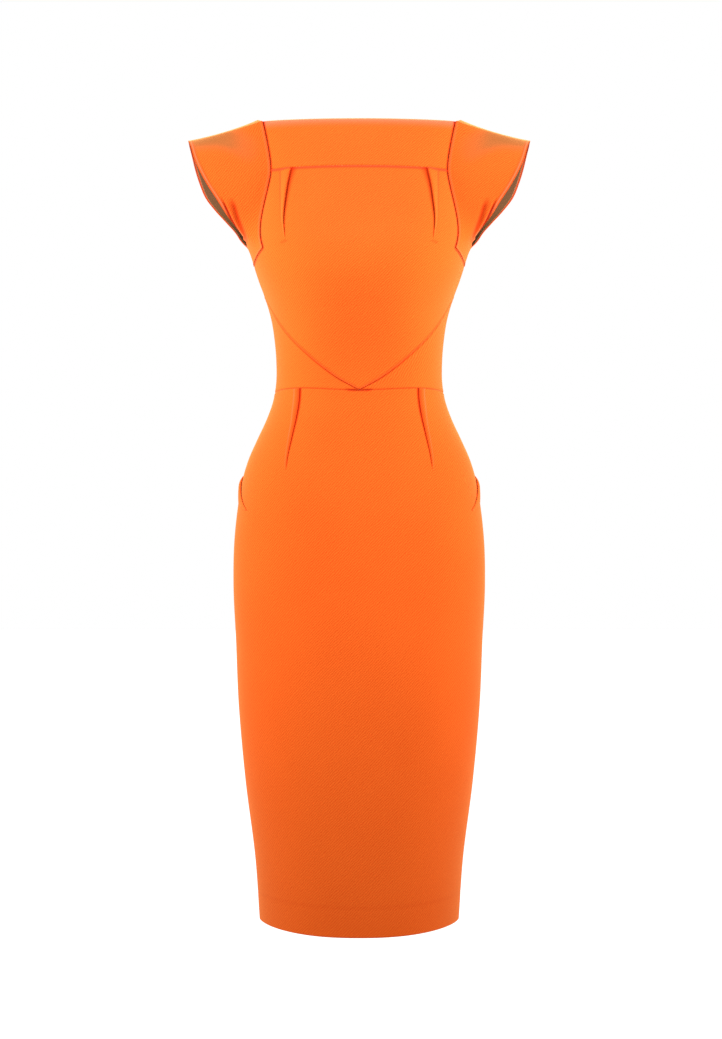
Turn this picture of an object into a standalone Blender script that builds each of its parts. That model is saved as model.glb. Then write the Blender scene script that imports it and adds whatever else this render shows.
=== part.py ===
"""A knee-length sheath dress with cap sleeves, filled out as it is worn.

The cloth is a thin wall on one hollow form. The form is a stack of flattened ovals, and each panel
is the patch of it between its seams. Metres, +Z up. The front faces -Y and +X is the wearer's left.
The origin is at the shoulders: the height of the neck ends, in the plane of the side seams.
"""

import bmesh
import bpy
import numpy as np
from mathutils import Matrix, Vector

COLLECTION = "sheath_dress"

# Cloth and seams
WALL = 0.0015
LINING_WALL = 0.001
LAYER_GAP = 0.0005
HALF_SEAM_GAP = 0.00025
SEAM_STRIP = 0.0015
LARGEST_STRIP_SHARE = 0.4
SEAM_DIP = 0.00025
SAME_SPOT = 0.00001

# Lengths down from the shoulders
NECKLINE = -0.0073
BACK_NECK_DROP = 0.006
YOKE_SEAM = -0.0727
UNDERARM = -0.1905
WAIST = -0.3537
WAIST_FRONT_DIP = 0.0048
WAIST_FRONT_POWER = 8
WAIST_SIDE_DIP = 0.0021
WAIST_SIDE_POWER = 12
VENT_TOP = -0.860
HEM = -1.042
V_TIP_TURN = 1.2

# The form: oval sections, highest first. A depth is measured from the plane of the side seams.
# Columns: height, half width, front depth, back depth, power across, power round
FORM_ROWS = np.array([
    (0.000, 0.1500, 0.0460, 0.0500, 2.05, 0.50),
    (-0.035, 0.1450, 0.0580, 0.0640, 2.05, 0.50),
    (-0.072, 0.1420, 0.0700, 0.0780, 2.10, 0.50),
    (-0.110, 0.1430, 0.0860, 0.0900, 2.15, 0.50),
    (-0.150, 0.1440, 0.1040, 0.0990, 2.20, 0.50),
    (-0.180, 0.1398, 0.1170, 0.1035, 2.25, 0.50),
    (-0.208, 0.1315, 0.1230, 0.1040, 2.30, 0.50),
    (-0.234, 0.1220, 0.1200, 0.1010, 2.30, 0.50),
    (-0.260, 0.1145, 0.1120, 0.0970, 2.25, 0.50),
    (-0.286, 0.1103, 0.1040, 0.0920, 2.20, 0.50),
    (-0.313, 0.1080, 0.0970, 0.0870, 2.20, 0.50),
    (-0.345, 0.1083, 0.0930, 0.0840, 2.20, 0.50),
    (-0.365, 0.1116, 0.0930, 0.0860, 2.20, 0.50),
    (-0.391, 0.1207, 0.0960, 0.0920, 2.20, 0.50),
    (-0.417, 0.1328, 0.0990, 0.0990, 2.20, 0.50),
    (-0.443, 0.1442, 0.1020, 0.1060, 2.20, 0.50),
    (-0.469, 0.1520, 0.1045, 0.1110, 2.20, 0.50),
    (-0.508, 0.1585, 0.1070, 0.1155, 2.20, 0.50),
    (-0.547, 0.1625, 0.1090, 0.1170, 2.20, 0.51),
    (-0.606, 0.1638, 0.1100, 0.1160, 2.20, 0.53),
    (-0.678, 0.1605, 0.1105, 0.1120, 2.20, 0.56),
    (-0.756, 0.1573, 0.1100, 0.1080, 2.20, 0.58),
    (-0.861, 0.1481, 0.1090, 0.1040, 2.25, 0.62),
    (-0.965, 0.1351, 0.1080, 0.1010, 2.25, 0.66),
    (HEM, 0.1298, 0.1070, 0.1000, 2.30, 0.70),
])

# Seams on the form. A turn is in degrees from the centre front, 90 at the side.
# Armhole columns: height, turn
ARMHOLE_ROWS = np.array([
    (NECKLINE, 57.0), (-0.0325, 55.3), (-0.0569, 53.5), (YOKE_SEAM, 52.8), (-0.0968, 54.8),
    (-0.1201, 57.9), (-0.1435, 60.1), (-0.1593, 60.7), (-0.1673, 60.2), (-0.1748, 59.2),
])
UNDERARM_CORNER = ARMHOLE_ROWS[-1, 0]
UNDERARM_ROWS = np.array([(-0.1748, 59.2), (-0.1812, 66.8), (-0.1868, 75.0), (UNDERARM, 90.0)])
# V seam columns: turn, height
V_SEAM_ROWS = np.array([
    (0.0, -0.3566), (11.0, -0.3446), (23.6, -0.3282), (38.0, -0.3082), (49.3, -0.2925),
    (62.9, -0.2715), (71.2, -0.2575), (79.2, -0.2425), (90.0, -0.2318),
])

# Pressed darts that lie on the outside
# Columns: height, turn of the free edge, turn of the line they are sewn along, lift
BUST_DART_ROWS = np.array([
    (YOKE_SEAM, 36.0, 44.3, 0.0022), (-0.0894, 37.6, 43.7, 0.0026), (-0.1136, 38.8, 42.8, 0.0024),
    (-0.1378, 39.3, 41.7, 0.0018), (-0.1590, 38.8, 40.2, 0.0008), (-0.1687, 38.5, 39.7, 0.0000),
])
SKIRT_DART_ROWS = np.array([
    (-0.3545, 41.9, 47.6, 0.0020), (-0.3800, 39.7, 44.6, 0.0022), (-0.4000, 38.5, 41.9, 0.0020),
    (-0.4192, 38.2, 40.4, 0.0016), (-0.4400, 37.2, 38.9, 0.0009), (-0.4559, 36.4, 37.8, 0.0000),
])
DART_FOLD_TURN = 0.55

# The tuck that laps over each side seam at the hip
# Columns: height, turn of the front edge, turn of the back edge, lift
TUCK_ROWS = np.array([
    (-0.4643, 88.0, 95.0, 0.0002), (-0.4700, 84.0, 99.0, 0.0016), (-0.4760, 81.5, 100.0, 0.0018),
    (-0.4833, 78.5, 99.0, 0.0012), (-0.4915, 74.5, 94.0, 0.0006), (-0.4985, 70.5, 84.0, 0.0003),
    (-0.5040, 67.0, 75.0, 0.0002), (-0.5089, 63.5, 67.0, 0.0001),
])
TUCK_SHARES = np.array([0.0, 0.15, 0.4, 0.7, 1.0])
TUCK_LIFTS = np.array([0.8, 1.0, 1.0, 0.7, 0.2])
TUCK_WALL = 0.0012

# Sleeve ribs, from the underarm to the shoulder ridge
# Columns: degrees round the mouth, seam height, front and back edge x, crown outward, crown upward
RIB_ROWS = np.array([
    (180.0, UNDERARM, 0.1450, 0.1450, 0.0000, 0.0000),
    (168.0, -0.1868, 0.1455, 0.1466, 0.0000, 0.0000),
    (160.0, -0.1812, 0.1464, 0.1492, -0.0005, 0.0000),
    (152.0, -0.1748, 0.1490, 0.1528, -0.0010, 0.0000),
    (142.0, -0.1640, 0.1535, 0.1578, -0.0015, 0.0000),
    (130.0, -0.1510, 0.1606, 0.1642, -0.0015, 0.0000),
    (116.0, -0.1340, 0.1712, 0.1765, -0.0010, 0.0000),
    (102.0, -0.1155, 0.1820, 0.1910, 0.0000, 0.0000),
    (88.0, -0.0950, 0.1932, 0.2040, 0.0010, 0.0000),
    (72.0, YOKE_SEAM, 0.2040, 0.2122, 0.0020, 0.0000),
    (55.0, -0.0490, 0.2120, 0.2178, 0.0030, 0.0010),
    (38.0, -0.0270, 0.2168, 0.2210, 0.0030, 0.0010),
    (22.0, NECKLINE, 0.2203, 0.2230, 0.0020, 0.0000),
    (0.0, 0.0000, 0.2232, 0.2232, 0.0000, -0.0045),
])
SLEEVE_TOP = -0.0268
SLEEVE_BOTTOM = -0.1664
SLEEVE_MOUTH_FRONT = 0.040
SLEEVE_MOUTH_BACK = 0.045
NECK_END_X = 0.1328
NECK_END_POWER = 1.6

# Where the grids have their lines
ARMHOLE_HEIGHTS = np.array([
    NECKLINE, -0.0260, -0.0500, YOKE_SEAM, -0.0930, -0.1150, -0.1360, -0.1535, -0.1660, -0.1748,
    -0.1812, -0.1868, UNDERARM,
])
YOKE_LINES = 4
SIDE_HEIGHTS = np.array([-0.2040, -0.2180])
MIDRIFF_SHARES = np.array([0.0, 0.25, 0.5, 0.75, 1.0])
WAIST_TURNS = np.array([V_TIP_TURN, 13.0, 25.0, 35.0, 41.9, 47.6, 59.0, 71.0, 81.0, 90.0])
SKIRT_HEIGHTS = np.array([
    -0.3730, -0.3960, -0.4192, -0.4400, -0.4559, -0.4800, -0.5100, -0.5500, -0.6050, -0.6700,
    -0.7350, -0.8000, VENT_TOP, -0.9500, HEM,
])
BACK_TURNS = np.array([90.0, 99.0, 110.0, 124.0, 140.0, 157.0, 175.0, 180.0])
INNER_SHARES = np.array([0.0, 0.35, 0.7])
OUTER_SHARES = np.array([0.45, 0.8, 1.0])
BELOW_DART_SHARES = np.array([0.0, 0.2, 0.4, 0.54, 0.61, 0.68, 0.8, 0.91, 1.0])
BELOW_DART_TURNS = np.array([36.0, 42.0, 48.0])
BELOW_DART_HEIGHT = -0.550
SLEEVE_SHARES = np.array([0.0, 0.22, 0.48, 0.76, 1.0])
LINING_SHARES = np.array([0.22, 0.48, 0.76, 0.98])
NECK_END_STEPS = np.array([-0.5, 0.0, 0.5])

# Vent and zip at the centre back
ZIP_BOTTOM = -0.500
SLIDER_HEIGHT = -0.0260
SLIDER_SIZE = (0.0050, 0.0015, 0.0090)
BRIDGE_WIDTH = 0.0012
BRIDGE_HALF_LENGTH = 0.0023
BRIDGE_STANDS = 0.0028
BRIDGE_WIRE = 0.0008
PULL_LENGTH = 0.0200
PULL_TOP_HALF_WIDTH = 0.0019
PULL_HALF_WIDTH = 0.0030
PULL_THICKNESS = 0.0009
PULL_EYE_HALF_WIDTH = 0.0011
PULL_EYE_LENGTH = 0.0040
PULL_BAR = 0.0009
PULL_LEAN_DEG = 3.0
PULL_TAPER_LENGTH = 0.0045
PULL_END_LENGTH = 0.0015
PULL_SHOULDER_SHARE = 0.8
PULL_TIP_SHARE = 0.4
CUT_CORNER = 0.0003

ORANGE_CREPE = ((0.93, 0.165, 0.022), 0.85, 0.0)
TAUPE_SATIN = ((0.19, 0.125, 0.085), 0.45, 0.0)
ORANGE_TAPE = ((0.80, 0.14, 0.02), 0.70, 0.0)
ORANGE_ENAMEL = ((0.80, 0.13, 0.02), 0.35, 0.0)


def smooth_column(rows, key_column, value_column, at):
    """Reads one column of a table at any key: a cubic between rows that keeps the mean slope at each."""
    order = np.argsort(rows[:, key_column])
    keys = rows[order, key_column]
    values = rows[order, value_column]
    at = np.clip(at, keys[0], keys[-1])
    slopes = np.gradient(values, keys)
    row = np.clip(np.searchsorted(keys, at, side="right") - 1, 0, len(keys) - 2)
    span = keys[row + 1] - keys[row]
    t = (at - keys[row]) / span
    start = (2 * t**3 - 3 * t**2 + 1) * values[row] + (t**3 - 2 * t**2 + t) * span * slopes[row]
    end = (3 * t**2 - 2 * t**3) * values[row + 1] + (t**3 - t**2) * span * slopes[row + 1]
    return start + end


def form_point(turn, height):
    """The form's point at a turn in degrees and a height: x = a |sin|^(2/p), y = depth |cos|^(2 r)."""
    turn, height = np.broadcast_arrays(np.asarray(turn, float), np.asarray(height, float))
    half_width, front, back, across, rounding = (
        smooth_column(FORM_ROWS, 0, column, height) for column in range(1, FORM_ROWS.shape[1])
    )
    sine = np.sin(np.radians(turn))
    cosine = np.cos(np.radians(turn))
    x = half_width * np.sign(sine) * np.abs(sine) ** (2 / across)
    y = -np.where(cosine >= 0, front, back) * np.sign(cosine) * np.abs(cosine) ** (2 * rounding)
    return np.stack([x, y, height], axis=-1)


def armhole_turn(height):
    """How far round the armhole seam lies at a height: down the front, then out to the side."""
    upper = smooth_column(ARMHOLE_ROWS, 0, 1, height)
    lower = np.interp(-np.asarray(height), -UNDERARM_ROWS[:, 0], UNDERARM_ROWS[:, 1])
    return np.where(np.asarray(height) >= UNDERARM_CORNER, upper, lower)


def v_seam_height(turn):
    """The height of the seam that comes down from the sides to a point at the centre front."""
    return smooth_column(V_SEAM_ROWS, 0, 1, turn)


def waist_height(turn):
    """The waist seam's height, which dips at the centres and a little at the sides."""
    angle = np.radians(turn)
    centre_dip = WAIST_FRONT_DIP * np.cos(angle) ** WAIST_FRONT_POWER
    side_dip = WAIST_SIDE_DIP * np.sin(angle) ** WAIST_SIDE_POWER
    return WAIST - centre_dip - side_dip


def outward_normals(points):
    """Unit normals of a grid of points, from the cross product of its two directions."""
    along_columns = np.gradient(points, axis=1)
    along_rows = np.gradient(points, axis=0)
    normals = np.cross(along_columns, along_rows)
    return normals / np.maximum(np.linalg.norm(normals, axis=-1, keepdims=True), 1e-12)


def seam_edge(points):
    """Finishes the last column as a seam: a narrow strip, then an edge that draws back and dips in."""
    edge = points[:, -1]
    inward = points[:, -2] - edge
    tangent = np.gradient(edge, axis=0)
    tangent /= np.linalg.norm(tangent, axis=-1, keepdims=True)
    straight = inward - tangent * np.sum(inward * tangent, axis=-1, keepdims=True)
    reach = np.linalg.norm(straight, axis=-1, keepdims=True)
    normal = outward_normals(points)[:, -1]
    strip = edge + inward * np.minimum(SEAM_STRIP / reach, LARGEST_STRIP_SHARE)
    drawn_back = inward * np.minimum(HALF_SEAM_GAP / reach, LARGEST_STRIP_SHARE / 2)
    edge = edge + drawn_back - normal * SEAM_DIP
    return np.concatenate([points[:, :-1], strip[:, None], edge[:, None]], axis=1)


def with_seams(points, left=False, right=False, bottom=False, top=False):
    """Finishes the named edges of a grid as seams."""
    if right:
        points = seam_edge(points)
    if left:
        points = seam_edge(points[::-1, ::-1])[::-1, ::-1]
    if top:
        points = seam_edge(points[:, ::-1].swapaxes(0, 1)).swapaxes(0, 1)[:, ::-1]
    if bottom:
        points = seam_edge(points[::-1].swapaxes(0, 1)).swapaxes(0, 1)[::-1]
    return points


def other_side(points):
    """The same cloth on the wearer's other side, still facing out."""
    return points[:, ::-1] * (-1, 1, 1)


def material(name, finish):
    """A plain material with a colour, a roughness and a metallic value."""
    colour, roughness, metallic = finish
    made = bpy.data.materials.new(name)
    made.use_nodes = True
    shader = made.node_tree.nodes["Principled BSDF"]
    shader.inputs["Base Color"].default_value = (*colour, 1.0)
    shader.inputs["Roughness"].default_value = roughness
    shader.inputs["Metallic"].default_value = metallic
    return made


def add_object(name, data, finish, collection):
    """Links a new object, named as its node, with its own material."""
    made = bpy.data.objects.new(name, data)
    data.materials.append(material(name, finish))
    collection.objects.link(made)
    return made


def cloth(name, points, finish, collection, wall=WALL, mirrored=False):
    """A sheet of cloth: a flat grid whose corners are moved to the points, with its wall inside."""
    rows, columns = points.shape[:2]
    sheet = bmesh.new()
    bmesh.ops.create_grid(sheet, x_segments=columns - 1, y_segments=rows - 1, size=1)
    for corner in sheet.verts:
        column = round((corner.co.x + 1) / 2 * (columns - 1))
        row = round((corner.co.y + 1) / 2 * (rows - 1))
        corner.co = points[row, column]
    bmesh.ops.remove_doubles(sheet, verts=sheet.verts, dist=SAME_SPOT)
    mesh = bpy.data.meshes.new(name)
    sheet.to_mesh(mesh)
    sheet.free()
    mesh.shade_smooth()
    made = add_object(name, mesh, finish, collection)
    if mirrored:
        mirror = made.modifiers.new("other_half", "MIRROR")
        mirror.merge_threshold = SAME_SPOT
    solidify = made.modifiers.new("wall", "SOLIDIFY")
    solidify.thickness = wall
    solidify.offset = -1
    return made


def dart_lines(rows, height):
    """The turns of a dart's three lines at a height, and how far each stands out."""
    free = smooth_column(rows, 0, 1, height)
    sewn = smooth_column(rows, 0, 2, height)
    lift = smooth_column(rows, 0, 3, height)
    lift = np.where(np.asarray(height) < rows[-1, 0], 0.0, np.maximum(lift, 0.0))
    turns = np.stack([free, free + DART_FOLD_TURN, sewn], axis=-1)
    lifts = np.stack([0 * lift, lift, 0 * lift], axis=-1)
    return turns, lifts


def raised(points, lifts):
    """Moves each point out along the cloth's normal."""
    return points + outward_normals(points) * lifts[..., None]


def front_columns(heights, edge_turns):
    """Turns and lifts of the upper front's columns: a row for each height, out to its edge."""
    dart_turns, dart_lifts = dart_lines(BUST_DART_ROWS, heights)
    free = dart_turns[:, :1]
    sewn = dart_turns[:, -1:]
    edge = edge_turns[:, None]
    upper = np.hstack([INNER_SHARES * free, dart_turns, sewn + OUTER_SHARES * (edge - sewn)])
    dart_end = BUST_DART_ROWS[-1, 0]
    v_top = V_SEAM_ROWS[-1, 1]
    blend = np.clip((dart_end - heights) / (dart_end - v_top), 0, 1)[:, None]
    lifts = np.zeros_like(upper)
    lifts[:, len(INNER_SHARES):-len(OUTER_SHARES)] = dart_lifts
    return upper * (1 - blend) + BELOW_DART_SHARES * edge * blend, lifts


def yoke_points():
    """Half of the front yoke, from the centre to the armhole seam."""
    heights = ARMHOLE_HEIGHTS[:YOKE_LINES][::-1]
    turns = front_columns(heights, armhole_turn(heights))[0]
    turns = turns[0] / turns[0, -1] * turns[:, -1:]
    return with_seams(form_point(turns, heights[:, None]), right=True, bottom=True)


def bodice_front_points():
    """Half of the front bodice: the armhole, the side, then the V seam down to the waist."""
    v_turns = WAIST_TURNS[:-1]
    v_heights = v_seam_height(v_turns)
    upper_heights = ARMHOLE_HEIGHTS[YOKE_LINES - 1:][::-1]
    side_heights = np.append(V_SEAM_ROWS[-1, 1], SIDE_HEIGHTS[::-1])
    heights = np.concatenate([[waist_height(0.0)], v_heights, side_heights, upper_heights])
    edge = np.concatenate([
        [V_TIP_TURN], v_turns, np.full(len(side_heights), 90.0), armhole_turn(upper_heights)])
    turns, lifts = front_columns(heights, edge)
    points = raised(form_point(turns, heights[:, None]), lifts)
    return with_seams(points, right=True, top=True, bottom=True)


def midriff_points():
    """The left midriff, between the V seam, the waist seam and the side seam."""
    turns = WAIST_TURNS
    bottom = waist_height(turns)
    top = v_seam_height(turns)
    heights = bottom + MIDRIFF_SHARES[:, None] * (top - bottom)
    points = form_point(turns[None, :], heights)
    return with_seams(points, left=True, right=True, bottom=True, top=True)


def skirt_front_points():
    """Half of the front skirt with its dart, from the centre to the side seam."""
    heights = np.append(SKIRT_HEIGHTS[::-1], SKIRT_DART_ROWS[0, 0])
    dart_turns, dart_lifts = dart_lines(SKIRT_DART_ROWS, heights)
    dart_end = SKIRT_DART_ROWS[-1, 0]
    blend = np.clip((dart_end - heights) / (dart_end - BELOW_DART_HEIGHT), 0, 1)[:, None]
    dart_turns = dart_turns * (1 - blend) + BELOW_DART_TURNS * blend
    inner = np.append(0.0, WAIST_TURNS[(WAIST_TURNS > V_TIP_TURN) & (WAIST_TURNS < dart_turns.min())])
    outer = WAIST_TURNS[WAIST_TURNS > dart_turns.max()]
    rows = np.ones((len(heights), 1))
    turns = np.hstack([rows * inner, dart_turns, rows * outer])
    lifts = np.zeros_like(turns)
    lifts[:, len(inner):len(inner) + dart_turns.shape[1]] = dart_lifts
    level = np.repeat(heights[:, None], turns.shape[1], axis=1)
    level[-1] = waist_height(turns[-1])
    return with_seams(raised(form_point(turns, level), lifts), right=True, top=True)


def bodice_back_grid():
    """The left back bodice, from the side and armhole seams to the centre back, before its seams."""
    side = MIDRIFF_SHARES * (v_seam_height(90.0) - waist_height(90.0)) + waist_height(90.0)
    heights = np.concatenate([side, SIDE_HEIGHTS[::-1], ARMHOLE_HEIGHTS[::-1]])
    edge = np.where(heights >= UNDERARM, 180 - armhole_turn(heights), 90.0)
    share = (BACK_TURNS - 90.0) / 90.0
    turns = edge[:, None] + share * (180.0 - edge[:, None])
    level = np.repeat(heights[:, None], len(share), axis=1)
    level[0] = waist_height(turns[0])
    high = np.clip((heights - UNDERARM) / (NECKLINE - UNDERARM), 0, 1)[:, None] ** 2
    level = level - BACK_NECK_DROP * high * share * (2 - share)
    return form_point(turns, level)


def skirt_back_grid():
    """The left back skirt, from the side seam to the centre back, before its seams."""
    heights = np.repeat(SKIRT_HEIGHTS[::-1, None], len(BACK_TURNS), axis=1)
    return form_point(BACK_TURNS[None, :], np.vstack([heights, waist_height(BACK_TURNS)]))


def inside(points, depth):
    """The same cloth, moved in by a depth."""
    return points - outward_normals(points) * depth


def sleeve_seam_points():
    """The sleeve's seam as a closed loop: up the front, over the neck end, down the back."""
    heights = ARMHOLE_HEIGHTS[::-1]
    front = form_point(armhole_turn(heights), heights)
    back = form_point(180.0 - armhole_turn(heights), heights)[::-1]
    steps = NECK_END_STEPS[:, None]
    corner = np.where(steps < 0, front[-1], back[0])
    fall = np.abs(steps) ** NECK_END_POWER
    x = NECK_END_X + (corner[:, :1] - NECK_END_X) * steps**2
    neck_end = np.hstack([x, np.abs(steps) * corner[:, 1:2], fall * corner[:, 2:]])
    return np.vstack([front, neck_end, back])


def sleeve_points(shares):
    """The left sleeve: each rib is a parabola from the seam to the oval mouth, over a crown."""
    seam = sleeve_seam_points()
    ribs = len(ARMHOLE_HEIGHTS)
    arm = smooth_column(RIB_ROWS, 1, 0, ARMHOLE_HEIGHTS[::-1])
    neck = smooth_column(RIB_ROWS, 1, 0, NECKLINE) * NECK_END_STEPS
    around = np.concatenate([-arm, neck, arm[::-1]])
    is_front = np.arange(len(around)) < ribs + len(NECK_END_STEPS) // 2
    turn = np.abs(around)
    columns = [smooth_column(RIB_ROWS, 0, column, turn) for column in (2, 3, 4, 5)]
    front_x, back_x, crown_out, crown_up = columns
    out = np.where(is_front, -1.0, 1.0)
    middle = (SLEEVE_TOP + SLEEVE_BOTTOM) / 2
    mouth_z = middle + (SLEEVE_TOP - SLEEVE_BOTTOM) / 2 * np.cos(np.radians(turn))
    depth = np.where(is_front, SLEEVE_MOUTH_FRONT, SLEEVE_MOUTH_BACK)
    mouth_y = out * depth * np.sin(np.radians(turn))
    mouth = np.stack([np.where(is_front, front_x, back_x), mouth_y, mouth_z], axis=-1)
    crown = np.stack([0 * out, out * crown_out, crown_up], axis=-1)
    control = (seam + mouth) / 2 + crown
    share = np.asarray(shares)[None, :, None]
    seam, control, mouth = seam[:, None], control[:, None], mouth[:, None]
    return (1 - share) ** 2 * seam + 2 * share * (1 - share) * control + share**2 * mouth


def wrapped_rows(points):
    """A ring's grid with a row more at each end, so that its first and last rows come out alike."""
    return np.concatenate([points[-2:-1], points, points[1:2]])


def sleeve_shell_points():
    """The left sleeve, its first column finished as the armhole seam."""
    return with_seams(wrapped_rows(sleeve_points(SLEEVE_SHARES)), left=True)[1:-1]


def lining_points():
    """The left sleeve's lining: its sleeve's own points, moved in."""
    return inside(wrapped_rows(sleeve_points(LINING_SHARES)), WALL + LAYER_GAP)[1:-1]


def tuck_points():
    """The left hip tuck: the skirt's own points, moved out."""
    heights = TUCK_ROWS[::-1, :1]
    front = TUCK_ROWS[::-1, 1:2]
    back = TUCK_ROWS[::-1, 2:3]
    points = form_point(front + TUCK_SHARES * (back - front), heights)
    return raised(points, LAYER_GAP + TUCK_WALL + TUCK_ROWS[::-1, 3:4] * TUCK_LIFTS)


def vent_points():
    """The vent's underlap: the left back skirt's own points beside the opening, moved in."""
    beside = skirt_back_grid()[:, -3:]
    return inside(beside[beside[:, 0, 2] <= VENT_TOP], WALL + LAYER_GAP + SEAM_DIP)


def zip_tape_points():
    """The zip's tape: the back's own points on each side of the centre, moved in."""
    skirt = skirt_back_grid()[:-1, -2:]
    skirt = skirt[skirt[:, 0, 2] >= ZIP_BOTTOM]
    bodice = bodice_back_grid()[:, -2:]
    half = np.vstack([skirt, bodice])
    whole = np.concatenate([half, other_side(half)[:, 1:]], axis=1)
    return inside(whole, WALL + LAYER_GAP + SEAM_DIP)


def zip_frame():
    """Places the slider: on the centre back, its +Y off the cloth and its -Z down the seam."""
    spot, above = form_point(180.0, np.array([SLIDER_HEIGHT, SLIDER_HEIGHT + SLIDER_SIZE[2]]))
    up = Vector(above - spot).normalized()
    out = Vector((1, 0, 0)).cross(up)
    turn = Matrix((Vector((1, 0, 0)), -out, up)).transposed().to_4x4()
    return Matrix.Translation(Vector(spot)) @ turn


def flat_outline(name, loops, thickness):
    """A plate: a filled flat curve with any holes, as thick as stated."""
    curve = bpy.data.curves.new(name, "CURVE")
    curve.dimensions = "2D"
    curve.fill_mode = "BOTH"
    curve.extrude = thickness / 2
    for loop in loops:
        spline = curve.splines.new("POLY")
        spline.points.add(len(loop) - 1)
        spline.use_cyclic_u = True
        for point, (x, y) in zip(spline.points, loop):
            point.co = (x, y, 0, 1)
    return curve


def rounded_box(low_x, high_x, low_y, high_y, corner):
    """The outline of a rectangle with cut corners."""
    return [
        (low_x + corner, low_y), (high_x - corner, low_y), (high_x, low_y + corner),
        (high_x, high_y - corner), (high_x - corner, high_y), (low_x + corner, high_y),
        (low_x, high_y - corner), (low_x, low_y + corner)]


def add_slider(frame, collection, cutters):
    """The zip's slider: a plate on the seam and the bridge that holds the pull."""
    width, depth, length = SLIDER_SIZE
    plate = bpy.data.meshes.new("zip_slider")
    body = bmesh.new()
    bmesh.ops.create_cube(body, size=1.0)
    bmesh.ops.scale(body, vec=(width, depth, length), verts=body.verts)
    bmesh.ops.translate(body, vec=(0, LAYER_GAP + depth / 2, 0), verts=body.verts)
    body.to_mesh(plate)
    body.free()
    slider = add_object("zip_slider", plate, ORANGE_ENAMEL, collection)
    slider.matrix_world = frame
    foot = LAYER_GAP + depth / 2
    stands = LAYER_GAP + depth + BRIDGE_STANDS
    long = BRIDGE_HALF_LENGTH
    outer = rounded_box(-long, long, foot, stands, BRIDGE_WIRE)
    inner = rounded_box(
        -long + BRIDGE_WIRE, long - BRIDGE_WIRE, foot + BRIDGE_WIRE / 2, stands - BRIDGE_WIRE, CUT_CORNER)
    outline = bpy.data.objects.new("bridge_outline", flat_outline("bridge", [outer, inner], BRIDGE_WIDTH))
    cutters.objects.link(outline)
    quarter = Matrix(((0, 0, 1), (0, 1, 0), (-1, 0, 0))).to_4x4()
    outline.matrix_world = frame @ quarter
    bpy.context.view_layer.update()
    evaluated = outline.evaluated_get(bpy.context.evaluated_depsgraph_get())
    mesh = bpy.data.meshes.new_from_object(evaluated)
    welded = bmesh.new()
    welded.from_mesh(mesh)
    bmesh.ops.remove_doubles(welded, verts=welded.verts, dist=SAME_SPOT)
    welded.to_mesh(mesh)
    welded.free()
    bridge = bpy.data.objects.new("bridge", mesh)
    bridge.matrix_world = outline.matrix_world.copy()
    cutters.objects.link(bridge)
    bpy.data.objects.remove(outline)
    bridge.hide_render = True
    bridge.display_type = "WIRE"
    union = slider.modifiers.new("bridge", "BOOLEAN")
    union.operation = "UNION"
    union.solver = "MANIFOLD"
    union.object = bridge


def pull_axis(frame):
    """Where the pull turns: a point on its bar's axis."""
    clear = LAYER_GAP + SLIDER_SIZE[1] + (BRIDGE_STANDS - BRIDGE_WIRE) / 2
    return frame @ Vector((0, clear, -BRIDGE_HALF_LENGTH + 2 * BRIDGE_WIRE + PULL_BAR / 2))


def add_pull(frame, collection):
    """The zip's pull tab, hung by its bar inside the bridge."""
    top = PULL_BAR / 2
    eye_bottom = -PULL_BAR / 2 - PULL_EYE_LENGTH
    end = top - PULL_LENGTH
    right_side = [
        (PULL_TIP_SHARE * PULL_HALF_WIDTH, end),
        (PULL_SHOULDER_SHARE * PULL_HALF_WIDTH, end + PULL_END_LENGTH),
        (PULL_HALF_WIDTH, end + PULL_TAPER_LENGTH),
        (PULL_TOP_HALF_WIDTH, eye_bottom),
        (PULL_TOP_HALF_WIDTH, top),
    ]
    outline = [(-x, y) for x, y in right_side[::-1]] + right_side
    eye = rounded_box(
        -PULL_EYE_HALF_WIDTH, PULL_EYE_HALF_WIDTH, eye_bottom, -PULL_BAR / 2, CUT_CORNER)
    pull = add_object("zip_pull", flat_outline("zip_pull", [outline, eye], PULL_THICKNESS),
                      ORANGE_ENAMEL, collection)
    stand_up = Matrix.Rotation(np.radians(90.0), 4, "X")
    lean = Matrix.Rotation(np.radians(-PULL_LEAN_DEG), 4, "X")
    turn = frame.to_3x3().to_4x4()
    pull.matrix_world = Matrix.Translation(pull_axis(frame)) @ turn @ lean @ stand_up


def clear_scene():
    """Removes whatever the scene holds."""
    for old in list(bpy.data.objects):
        bpy.data.objects.remove(old)


def new_collection(name):
    """A collection linked to the scene."""
    made = bpy.data.collections.new(name)
    bpy.context.scene.collection.children.link(made)
    return made


def add_pair(name, points, finish, collection, wall=WALL):
    """A left piece and its right twin."""
    cloth(f"{name}_left", points, finish, collection, wall)
    cloth(f"{name}_right", other_side(points), finish, collection, wall)


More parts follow.
